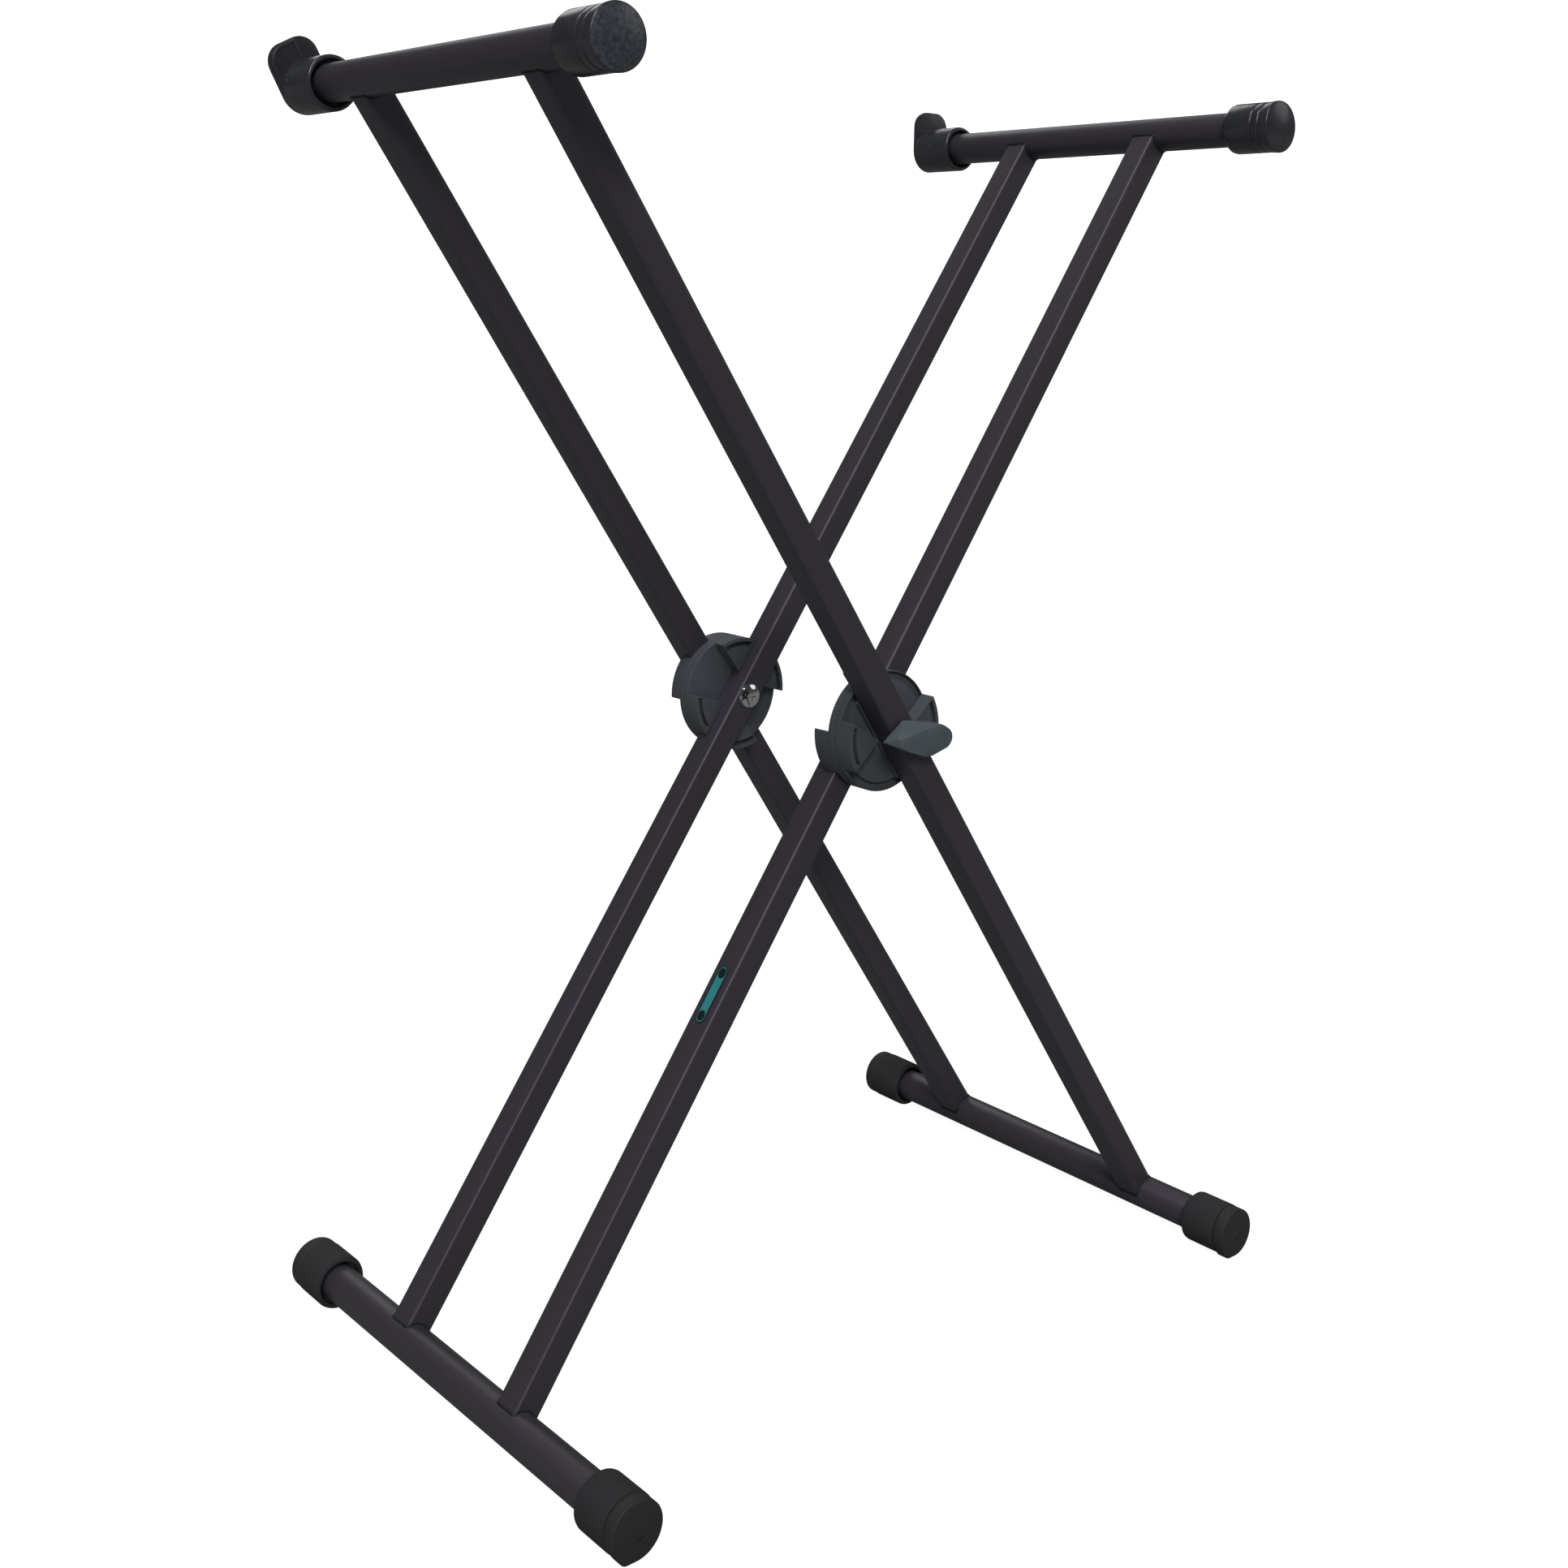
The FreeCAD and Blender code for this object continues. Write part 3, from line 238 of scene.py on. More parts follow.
class StageSettings(bpy.types.PropertyGroup):
    photo_side: IntProperty(name="Photo side", description="Width of the photo, in pixels", default=1932)
    focal: amount("Focal length", "Focal length, in photo pixels", 2332.74)
    centre_row: amount("Centre row", "Row of the optical axis, in photo pixels", 646.43)
    yaw: angle("Yaw", "Turn of the camera from the round tubes' direction", 40.907)
    pitch: angle("Pitch", "How far the camera looks down", 6.402)
    roll: angle("Roll", "Roll of the camera", 1.230)
    eye: FloatVectorProperty(name="Eye", description="Place of the camera",
                             default=(-0.8899, -1.0054, 0.7110), subtype="TRANSLATION")
    floor_size: length("Floor size", "Width of the floor", 60000.0)
    key_strength: amount("Key strength", "Strength of the key light", 1.0)
    fill_strength: amount("Fill strength", "Strength of the fill light", 0.2)
    top_strength: amount("Top strength", "Strength of the light overhead", 0.9)
    back_strength: amount("Back strength", "Strength of the light behind", 0.35)
    key_spread: angle("Key spread", "Width of the key light as the stand sees it", 15.0)
    surroundings: amount("Surroundings", "Brightness of the walls in reflections", 0.056)
    backdrop: amount("Backdrop", "Brightness of the walls in the picture", 1.3)
    floor_glow: amount("Floor glow", "Light that the floor adds to the picture", 0.94)
    floor_colour: colour("Floor colour", "Colour of the floor", (0.3, 0.3, 0.3))


class FinishSettings(bpy.types.PropertyGroup):
    frame_powder_coat: colour("Frame powder coat", "Tone of the arms and tubes", (0.0128, 0.0123, 0.0158))
    weld_bead: colour("Weld bead", "Tone of the weld beads", (0.016, 0.0145, 0.019))
    black_rubber: colour("Black rubber", "Tone of the foot sleeves", (0.008, 0.0081, 0.0095))
    cap_rubber: colour("Cap rubber", "Tone of the top caps and keyboard stops", (0.05, 0.052, 0.063))
    # The outer cap's end: its grain is the rubber's own, its lighter tone is a painted sheen
    leathery_rubber: colour("Leathery rubber", "Tone of the outer cap's grained end", (0.09, 0.102, 0.126))
    foot_plastic: colour("Foot plastic", "Tone of the levelling rings", (0.0065, 0.0065, 0.0078))
    hub_nylon: colour("Hub nylon", "Tone of the hub shells", (0.023, 0.037, 0.055))
    lever_nylon: colour("Lever nylon", "Tone of the release lever", (0.13, 0.165, 0.187))
    polished_chrome: colour("Polished chrome", "Tone of the pivot bolts", (0.7, 0.68, 0.69))
    zinc_steel: colour("Zinc steel", "Tone of the washers, nuts, spacers and plates", (0.5, 0.49, 0.46))
    spring_steel: colour("Spring steel", "Tone of the disc spring", (0.2, 0.2, 0.22))
    white_nylon: colour("White nylon", "Tone of the pivot bushes", (0.66, 0.65, 0.6))
    friction_fibre: colour("Friction fibre", "Tone of the friction discs", (0.17, 0.13, 0.09))
    badge_teal: colour("Badge teal", "Tone of the badge's field", (0.01, 0.15, 0.195))
    badge_dark: colour("Badge dark", "Tone of the badge's plate and ovals", (0.012, 0.022, 0.028))


class StandSettings(bpy.types.PropertyGroup):
    frames: group(FrameSettings, "Frames", "Arms, tubes and welds")
    caps: group(CapSettings, "Top caps", "Rubber caps on the top tubes")
    stops: group(StopSettings, "Keyboard stops", "Rubber stops on the top tubes")
    feet: group(FootSettings, "Feet", "Foot sleeves and levelling rings")
    hubs: group(HubSettings, "Hubs", "Hub shells")
    lever: group(LeverSettings, "Lever", "Release lever")
    fasteners: group(FastenerSettings, "Fasteners", "Bolts, nuts and washers")
    badge: group(BadgeSettings, "Badge", "Badge on the inner front arm")
    stage: group(StageSettings, "Stage", "Camera, floor and lights")
    finishes: group(FinishSettings, "Finishes", "Main tones of the finishes")


# Finishes


def feed(tree, item, inputs):
    """Set the inputs of a node; each takes a value or the socket that feeds it."""
    for socket, source in inputs.items():
        if isinstance(source, bpy.types.NodeSocket):
            tree.links.new(source, item.inputs[socket])
        else:
            item.inputs[socket].default_value = source
    return item


def add_node(tree, kind, inputs=None, **settings):
    item = tree.nodes.new("ShaderNode" + kind)
    for name, value in settings.items():
        setattr(item, name, value)
    return feed(tree, item, inputs or {})


def new_group(name, inputs, outputs):
    """Start a shader node group whose sockets are given as (name, kind) pairs."""
    tree = bpy.data.node_groups.new(name, "ShaderNodeTree")
    for direction, sockets in (("INPUT", inputs), ("OUTPUT", outputs)):
        for label, kind in sockets:
            tree.interface.new_socket(name=label, in_out=direction, socket_type="NodeSocket" + kind)
    return tree, tree.nodes.new("NodeGroupInput").outputs, tree.nodes.new("NodeGroupOutput").inputs


def blend_colours(tree, factor, first, second):
    mix = add_node(tree, "Mix", {"Factor": factor, "A": first, "B": second}, data_type="RGBA")
    return mix.outputs["Result"]


def patchy_tone_group():
    """Two tones in soft patches, as on a moulded or painted surface seen close up."""
    sockets = [("Place", "Vector"), ("Tone", "Color"), ("Patch tone", "Color"), ("Patch scale", "Float")]
    tree, given, result = new_group("Patchy tone", sockets, [("Tone", "Color")])
    noise = add_node(tree, "TexNoise", {"Vector": given["Place"], "Scale": given["Patch scale"],
                                        "Detail": 4.0})
    spread = add_node(tree, "MapRange", {"Value": noise.outputs["Fac"], "From Min": 0.35,
                                         "From Max": 0.65})
    mix = blend_colours(tree, spread.outputs["Result"], given["Tone"], given["Patch tone"])
    tree.links.new(mix, result["Tone"])
    return tree


def uneven_gloss_group():
    """A roughness that drifts over the surface, with finer hazy spots in it."""
    sockets = [("Place", "Vector"), ("Roughness", "Float"), ("Spread", "Float"), ("Scale", "Float")]
    tree, given, result = new_group("Uneven gloss", sockets, [("Roughness", "Float")])
    noise = add_node(tree, "TexNoise", {"Vector": given["Place"], "Scale": given["Scale"], "Detail": 6.0})
    centred = add_node(tree, "Math", {0: noise.outputs["Fac"], 1: 0.5}, operation="SUBTRACT")
    drift = add_node(tree, "Math", {0: centred.outputs[0], 1: given["Spread"], 2: given["Roughness"]},
                     operation="MULTIPLY_ADD", use_clamp=True)
    tree.links.new(drift.outputs[0], result["Roughness"])
    return tree


def fine_grain_group():
    """The fine pebbled skin of powder coat or moulded rubber, as a height."""
    sockets = [("Place", "Vector"), ("Scale", "Float"), ("Pebbles", "Float")]
    tree, given, result = new_group("Fine grain", sockets, [("Height", "Float")])
    noise = add_node(tree, "TexNoise", {"Vector": given["Place"], "Scale": given["Scale"], "Detail": 3.0})
    cells = add_node(tree, "TexVoronoi", {"Vector": given["Place"], "Scale": given["Scale"]},
                     feature="SMOOTH_F1")
    mix = add_node(tree, "Mix", {"Factor": given["Pebbles"]}, data_type="FLOAT")
    tree.links.new(noise.outputs["Fac"], mix.inputs["A"])
    tree.links.new(cells.outputs["Distance"], mix.inputs["B"])
    tree.links.new(mix.outputs["Result"], result["Height"])
    return tree


def handling_marks_group():
    """Faint short scuffs, as a mask that is nearly empty."""
    sockets = [("Place", "Vector"), ("Scale", "Float"), ("Amount", "Float")]
    tree, given, result = new_group("Handling marks", sockets, [("Mask", "Float")])
    stretched = add_node(tree, "Mapping", {"Vector": given["Place"], "Scale": (1.0, 0.25, 0.12)})
    noise = add_node(tree, "TexNoise", {"Vector": stretched.outputs["Vector"], "Scale": given["Scale"],
                                        "Detail": 8.0, "Roughness": 0.7})
    peaks = add_node(tree, "MapRange", {"Value": noise.outputs["Fac"], "From Min": 0.62, "From Max": 0.78})
    mask = add_node(tree, "Math", {0: peaks.outputs["Result"], 1: given["Amount"]}, operation="MULTIPLY",
                    use_clamp=True)
    tree.links.new(mask.outputs[0], result["Mask"])
    return tree


GROUP_MAKERS = {
    "Patchy tone": patchy_tone_group,
    "Uneven gloss": uneven_gloss_group,
    "Fine grain": fine_grain_group,
    "Handling marks": handling_marks_group,
}


def place_group(tree, name, inputs):
    """Place a shared node group, built the first time that it is asked for."""
    item = tree.nodes.new("ShaderNodeGroup")
    item.node_tree = bpy.data.node_groups.get(name) or GROUP_MAKERS[name]()
    return feed(tree, item, inputs).outputs[0]


class Finish(NamedTuple):
    """What sets a finish apart besides its tone; the grain's height is in millimetres."""
    patch: tuple
    patch_scale: float
    roughness: float
    spread: float
    grain_scale: float
    grain: float
    pebbles: float
    marks: float
    shader: dict


METAL = {"Metallic": 1.0}
FILM = {"Coat Weight": 0.3, "Coat Roughness": 0.2}
FINISHES = {
    "frame_powder_coat": Finish(
        (0.0095, 0.0092, 0.0118), 35, 0.36, 0.16, 1300, 0.022, 0.3, 0.1, {"Specular IOR Level": 0.42}),
    "weld_bead": Finish(
        (0.01, 0.01, 0.012), 160, 0.5, 0.3, 900, 0.05, 0.2, 0.0, {"Specular IOR Level": 0.4}),
    "black_rubber": Finish(
        (0.0056, 0.0058, 0.007), 70, 0.3, 0.2, 1500, 0.02, 0.5, 0.12, {"Specular IOR Level": 0.6}),
    "cap_rubber": Finish(
        (0.036, 0.038, 0.048), 70, 0.28, 0.2, 1500, 0.02, 0.5, 0.12, {"Specular IOR Level": 0.6}),
    # Outer cap's end: a mottled tone lighter than the cap rubber is painted sheen; the grain bump is the
    # rubber's own
    "leathery_rubber": Finish(
        (0.038, 0.044, 0.057), 420, 0.34, 0.35, 950, 0.16, 0.6, 0.12, {"Specular IOR Level": 0.5}),
    "foot_plastic": Finish(
        (0.0046, 0.0046, 0.0056), 90, 0.26, 0.2, 1700, 0.016, 0.5, 0.15, {"Specular IOR Level": 0.6}),
    "hub_nylon": Finish(
        (0.016, 0.027, 0.043), 60, 0.3, 0.22, 1600, 0.018, 0.5, 0.14, {"Specular IOR Level": 0.45}),
    "lever_nylon": Finish(
        (0.1, 0.132, 0.153), 80, 0.4, 0.22, 1500, 0.02, 0.5, 0.16, {"Specular IOR Level": 0.5}),
    "polished_chrome": Finish(
        (0.6, 0.59, 0.61), 250, 0.24, 0.12, 2500, 0.003, 0.0, 0.3, METAL),
    "zinc_steel": Finish(
        (0.38, 0.38, 0.38), 220, 0.33, 0.25, 2200, 0.008, 0.1, 0.4, METAL),
    "spring_steel": Finish(
        (0.12, 0.12, 0.14), 150, 0.36, 0.2, 2000, 0.006, 0.1, 0.3, METAL),
    "white_nylon": Finish(
        (0.6, 0.59, 0.54), 120, 0.45, 0.15, 1800, 0.01, 0.4, 0.1, {}),
    "friction_fibre": Finish(
        (0.1, 0.08, 0.06), 500, 0.8, 0.2, 2600, 0.06, 0.2, 0.1, {}),
    "badge_teal": Finish(
        (0.008, 0.12, 0.165), 300, 0.32, 0.12, 2400, 0.004, 0.2, 0.2, FILM),
    "badge_dark": Finish(
        (0.01, 0.018, 0.024), 300, 0.34, 0.12, 2400, 0.004, 0.2, 0.2, FILM),
}
SCUFF_LIGHTENING = 1.9
SCUFF_PATCHES = 90


def finish(name):
    """Return the material of a finish, built the first time that it is asked for."""
    return bpy.data.materials.get(name) or make_finish(name, FINISHES[name])


def make_finish(name, look):
    """Build a finish from the shared groups, on the piece's own coordinates."""
    material = bpy.data.materials.new(name)
    material.use_nodes = True
    tree = material.node_tree
    surface = tree.nodes["Principled BSDF"]
    tone = getattr(bpy.context.scene.keyboard_stand.finishes, name)
    place = add_node(tree, "TexCoord").outputs["Object"]
    toned = place_group(tree, "Patchy tone", {
        "Place": place, "Tone": (*tone, 1.0), "Patch tone": (*look.patch, 1.0),
        "Patch scale": look.patch_scale})
    scuffs = place_group(tree, "Handling marks", {
        "Place": place, "Scale": SCUFF_PATCHES, "Amount": look.marks})
    worn = (*(min(1.0, part * SCUFF_LIGHTENING) for part in tone), 1.0)
    gloss = place_group(tree, "Uneven gloss", {
        "Place": place, "Roughness": look.roughness, "Spread": look.spread,
        "Scale": look.patch_scale * 2})
    height = place_group(tree, "Fine grain", {
        "Place": place, "Scale": look.grain_scale, "Pebbles": look.pebbles})
    bump = add_node(tree, "Bump", {"Height": height, "Strength": 1.0, "Distance": look.grain * MM})
    feed(tree, surface, {"Base Color": blend_colours(tree, scuffs, toned, worn), "Roughness": gloss,
                         "Normal": bump.outputs["Normal"], **look.shader})
    return material


# Places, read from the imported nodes


def middle(node):
    low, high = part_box(node)
    return (low + high) / 2


def size_of(node):
    low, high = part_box(node)
    return high - low


def tube_radius():
    return size_of("outer_top_tube").z / 2


def outward_face(node, outward):
    """Return the Y of the side of a node that faces outwards, or inwards for the other sign."""
    low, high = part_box(node)
    return high.y if outward > 0 else low.y


def upright(x, y, z, outward, turn=0.0):
    """Return the place whose local Z points outwards along Y, with local Y up before the turn."""
    facing = Matrix.Rotation(QUARTER_TURN, 4, "X")
    if outward > 0:
        facing = Matrix.Rotation(math.pi, 4, "Z") @ facing
    return Matrix.Translation((x, y, z)) @ facing @ Matrix.Rotation(turn, 4, "Z")


def pivot_height():
    return middle("rear_washer").z


def body_of(node):
    bodies = frame["record"]["behaviour"]["bodies"]
    return next(body for body, nodes in bodies.items() if node in nodes)


# Shaping


def tidy(shape):
    """Merge doubles and point the faces of a closed shape outwards."""
    bmesh.ops.remove_doubles(shape, verts=shape.verts, dist=SAME_PLACE)
    bmesh.ops.recalc_face_normals(shape, faces=shape.faces)
    return shape


def round_edges(shape, size, wanted, segments=3):
    """Round the edges that the test picks."""
    edges = [edge for edge in shape.edges if wanted(edge)]
    bmesh.ops.bevel(shape, geom=edges, offset=size, offset_type="OFFSET", segments=segments, profile=0.5,
                    affect="EDGES", material=-1, clamp_overlap=True)
    return shape


def is_sharp(edge, limit=SHARP):
    return len(edge.link_faces) == 2 and edge.calc_face_angle(0.0) > limit


def circle_at(radius, height):
    """Return a test for the edges of one circle about local Z."""
    near = SAME_PLACE * 5
    return lambda edge: all(abs(vert.co.xy.length - radius) < near and abs(vert.co.z - height) < near
                            for vert in edge.verts)


def is_upright(edge):
    return abs((edge.verts[0].co - edge.verts[1].co).normalized().dot(UP)) > 0.999


def turned(corners, steps=96):
    """Spin a profile of (radius, height, rounding) corners about local Z."""
    shape = bmesh.new()
    verts = [shape.verts.new((radius, 0.0, height)) for radius, height, _ in corners]
    reaches_axis = corners[0][0] == 0 and corners[-1][0] == 0
    following = verts[1:] if reaches_axis else verts[1:] + verts[:1]
    edges = [shape.edges.new(pair) for pair in zip(verts, following)]
    bmesh.ops.spin(shape, geom=verts + edges, cent=(0, 0, 0), axis=UP, angle=FULL_TURN,
                   steps=steps, use_merge=True)
    tidy(shape)
    for radius, height, rounding in corners:
        if rounding > 0:
            round_edges(shape, rounding, circle_at(radius, height))
    return shape


def prism(outline, low, high):
    """Extrude a polygon of (x, y) points from one height to another."""
    shape = bmesh.new()
    face = shape.faces.new([shape.verts.new((x, y, low)) for x, y in outline])
    walls = bmesh.ops.extrude_face_region(shape, geom=[face])["geom"]
    lifted = [item for item in walls if isinstance(item, bmesh.types.BMVert)]
    bmesh.ops.translate(shape, verts=lifted, vec=(0, 0, high - low))
    return tidy(shape)


def drum(radius, low, high, steps=96):
    """Make a plain cylinder whose facets line up with those of a turned piece."""
    return turned([(0, low, 0), (radius, low, 0), (radius, high, 0), (0, high, 0)], steps)


def slab(width, depth, low, high, x=0.0, y=0.0):
    """Make a box centred on x and y."""
    outline = [(x + right * width / 2, y + up * depth / 2) for right, up in SQUARE]
    return prism(outline, low, high)


def polar(radius, turn):
    return radius * math.cos(turn), radius * math.sin(turn)


def arc_block(inner, outer, low, high, first, last, steps=24):
    """Spin a rectangle through part of a turn about local Z."""
    shape = bmesh.new()
    corners = [(inner, low), (outer, low), (outer, high), (inner, high)]
    turn = Matrix.Rotation(first, 3, "Z")
    verts = [shape.verts.new(turn @ Vector((radius, 0, height))) for radius, height in corners]
    face = shape.faces.new(verts)
    bmesh.ops.spin(shape, geom=list(face.verts) + list(face.edges) + [face], cent=(0, 0, 0), axis=UP,
                   angle=last - first, steps=steps)
    return tidy(shape)


def slice_shape(shape, point, normal, tolerance=SAME_PLACE, **options):
    """Cut a shape along a plane; clear_outer takes off the side that the normal points to."""
    everything = shape.verts[:] + shape.edges[:] + shape.faces[:]
    bmesh.ops.bisect_plane(shape, geom=everything, dist=tolerance, plane_co=point, plane_no=normal,
                           **options)


def cut_off(shape, point, normal, tolerance=SAME_PLACE):
    """Take off what lies beyond a plane and close the cut."""
    slice_shape(shape, point, normal, tolerance, clear_outer=True)
    rim = [edge for edge in shape.edges if edge.is_boundary]
    bmesh.ops.holes_fill(shape, edges=rim, sides=0)


def moved(shape, matrix):
    bmesh.ops.transform(shape, matrix=matrix, verts=shape.verts)
    return shape


def combined(shape, tool, operation):
    """Return the union, difference or intersection of two closed shapes, which it uses up."""
    workpieces = []
    for part in (shape, tool):
        mesh = bpy.data.meshes.new("workpiece")
        part.to_mesh(mesh)
        part.free()
        workpieces.append(bpy.data.objects.new("workpiece", mesh))
        bpy.context.collection.objects.link(workpieces[-1])
    boolean = workpieces[0].modifiers.new("combine", "BOOLEAN")
    boolean.object = workpieces[1]
    boolean.operation = operation
    boolean.solver = "EXACT"
    result = bmesh.new()
    result.from_object(workpieces[0], bpy.context.evaluated_depsgraph_get())
    for workpiece in workpieces:
        mesh = workpiece.data
        bpy.data.objects.remove(workpiece)
        bpy.data.meshes.remove(mesh)
    return result


def joined(*shapes):
    result = shapes[0]
    for shape in shapes[1:]:
        result = combined(result, shape, "UNION")
    return result


def without(shape, *tools):
    for tool in tools:
        shape = combined(shape, tool, "DIFFERENCE")
    return shape


def clean_flats(shape):
    """Merge what a cut leaves behind: doubled points and split flat faces."""
    bmesh.ops.remove_doubles(shape, verts=shape.verts, dist=SAME_PLACE)
    bmesh.ops.dissolve_limit(shape, angle_limit=math.radians(0.5), verts=shape.verts, edges=shape.edges)
    return shape


def finished(shape, name, body, finishes, nodes=(), place=None):
    """Turn a shape into a smooth-shaded piece that rides on a body and stands for nodes."""
    if place is not None:
        moved(shape, place)
    mesh = bpy.data.meshes.new(name)
    shape.to_mesh(mesh)
    shape.free()
    for item in finishes:
        mesh.materials.append(finish(item))
    mesh.shade_smooth()
    mesh.set_sharp_from_angle(angle=SHARP)
    piece = bpy.data.objects.new(name, mesh)
    bpy.context.collection.objects.link(piece)
    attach(piece, body)
    if nodes:
        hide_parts(*nodes)
    return piece


def dress(node, shape, ending, finishes, place):
    """Put a shape in a node's stead."""
    finished(shape, f"{node}_{ending}", body_of(node), finishes, [node], place)


# The two frames

COPE_CUTS = 8
WELD_OVERLAP = 0.1 * MM
WELD_STEPS = (5, 22)
WELD_WAVES = (2.1, 0.37)


def make_round_tube(settings, node):
    radius = tube_radius()
    bore = radius - settings.tube_wall
    low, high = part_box(node)
    edge = settings.tube_edge
    run = high.y - low.y
    shape = turned([(radius, 0, edge), (radius, run, edge), (bore, run, edge), (bore, 0, edge)])
    centre = middle(node)
    dress(node, shape, "coated", ["frame_powder_coat"], upright(centre.x, low.y, centre.z, FAR))


def arm_place(node, frame_name):
    """Return an arm's place, with local Z up the arm from the foot tube's axis, and its full run."""
    foot = middle(f"{frame_name}_foot_tube")
    top = middle(f"{frame_name}_top_tube")
    run = Vector((top.x - foot.x, 0, top.z - foot.z))
    along = run.normalized()
    across = Vector((0, 1, 0))
    turn = Matrix((across.cross(along), across, along)).transposed().to_4x4()
    return Matrix.Translation((foot.x, middle(node).y, foot.z)) @ turn, run.length


def coped(height, x, run, radius):
    """Return the height at which an arm's end meets the round tube at its foot or top."""
    reach = math.sqrt(radius ** 2 - x ** 2)
    return reach if height < run / 2 else run - reach


def make_arm(settings, node, frame_name):
    """Make a square arm whose ends follow the round tubes."""
    side = size_of(node).y
    place, run = arm_place(node, frame_name)
    corner = settings.arm_corner
    shape = slab(side, side, 0, run)
    round_edges(shape, corner, is_upright, segments=5)
    flat = side - 2 * corner
    for cut in range(COPE_CUTS + 1):
        slice_shape(shape, (flat * (cut / COPE_CUTS - 0.5), 0, 0), (1, 0, 0))
    seat = tube_radius() - WELD_OVERLAP
    for vert in shape.verts:
        vert.co.z = coped(vert.co.z, vert.co.x, run, seat)
    dress(node, shape, "coated", ["frame_powder_coat"], place)
    for height, end in ((0.0, "foot"), (run, "top")):
        make_weld(settings, f"{node}_{end}_weld", body_of(node), place, side, corner, height, run)


def rounded_square(side, corner, arc_steps, side_steps):
    """Return points along a square with round corners, evenly spread on its arcs and sides."""
    inset = side / 2 - corner
    points = []
    for quarter in range(4):
        turn = Matrix.Rotation(quarter * QUARTER_TURN, 2)
        for step in range(arc_steps):
            x, y = polar(corner, step / arc_steps * QUARTER_TURN)
            points.append(turn @ Vector((inset + x, inset + y)))
        for step in range(side_steps):
            points.append(turn @ Vector((inset - 2 * inset * step / side_steps, side / 2)))
    return points


def make_weld(settings, name, body, place, side, corner, height, run):
    """Make the rippled weld bead round one end of an arm."""
    outline = rounded_square(side, corner, *WELD_STEPS)
    curve = bpy.data.curves.new(name, "CURVE")
    curve.dimensions = "3D"
    curve.bevel_depth = settings.bead
    curve.bevel_resolution = 2
    spline = curve.splines.new("POLY")
    spline.points.add(len(outline) - 1)
    spline.use_cyclic_u = True
    for number, (point, (x, y)) in enumerate(zip(spline.points, outline)):
        z = coped(height, x, run, tube_radius())
        point.co = (*(place @ Vector((x, y, z))), 1.0)
        waves = sum(math.sin(number * pace) for pace in WELD_WAVES)
        point.radius = 1 + settings.ripple * waves
    bead = bpy.data.objects.new(name, curve)
    bpy.context.collection.objects.link(bead)
    mesh = bpy.data.meshes.new_from_object(bead.evaluated_get(bpy.context.evaluated_depsgraph_get()))
    shape = bmesh.new()
    shape.from_mesh(mesh)
    bpy.data.objects.remove(bead)
    bpy.data.meshes.remove(mesh)
    finished(tidy(shape), name, body, ["weld_bead"])


# Rubber caps, keyboard stops and feet

RIM_EDGE = math.radians(60)
SPIGOT_OVERLAP = 0.5 * MM
CORNER_START = 0.3 * MM
MARK_TURNS = (-math.radians(215), math.radians(35))
MARK_PLACE = (1.9 * MM, -4.6 * MM, 0)
# run from the sleeve's mouth, turn from level, length, width and depth of each dent
OUTER_DENTS = ((29.2 * MM, math.radians(37), 2.4 * MM, 3.2 * MM, 0.9 * MM),)
INNER_DENTS = (
    (29.0 * MM, math.radians(46), 2.6 * MM, 2.6 * MM, 1.0 * MM),
    (26.5 * MM, math.radians(7), 2.4 * MM, 3.0 * MM, 0.6 * MM),
    (20.0 * MM, math.radians(10), 2.4 * MM, 3.0 * MM, 0.6 * MM),
)


def make_top_cap(settings, node, tube, end_finish):
    """Make a closed cap with a round shoulder, two grooves and a domed end."""
    bore = tube_radius() + SLEEVE_FIT
    radius = bore + settings.wall
    rim = radius + settings.flare
    run = size_of(node).y - settings.dome
    half, depth = settings.groove_width / 2, settings.groove_depth
    corners = [(0, run, 0), (bore, run, 0), (bore, 0, settings.bore_edge),
               (radius, 0, settings.shoulder)]
    for start in (settings.first_groove, settings.second_groove):
        corners += [(radius, start, settings.groove_round),
                    (radius - depth, start + half, settings.groove_floor_round),
                    (radius, start + 2 * half, settings.groove_rim_round)]
    corners.append((rim, run, settings.rim_round))
    for part in (0.8, 0.6, 0.4, 0.2):
        corners.append((rim * part, run + settings.dome * (1 - part ** 2), 0))
    corners.append((0, run + settings.dome, 0))
    shape = turned(corners)
    # The end face takes the second finish; on the outer cap that finish carries a painted sheen in its tone
    for face in shape.faces:
        spot = face.calc_center_median()
        face.material_index = int(spot.z > run + MARGIN and spot.xy.length < rim - settings.end_inset)
    centre = middle(tube)
    place = upright(centre.x, outward_face(node, FAR), centre.z, NEAR)
    dress(node, shape, "moulded", ["cap_rubber", end_finish], place)


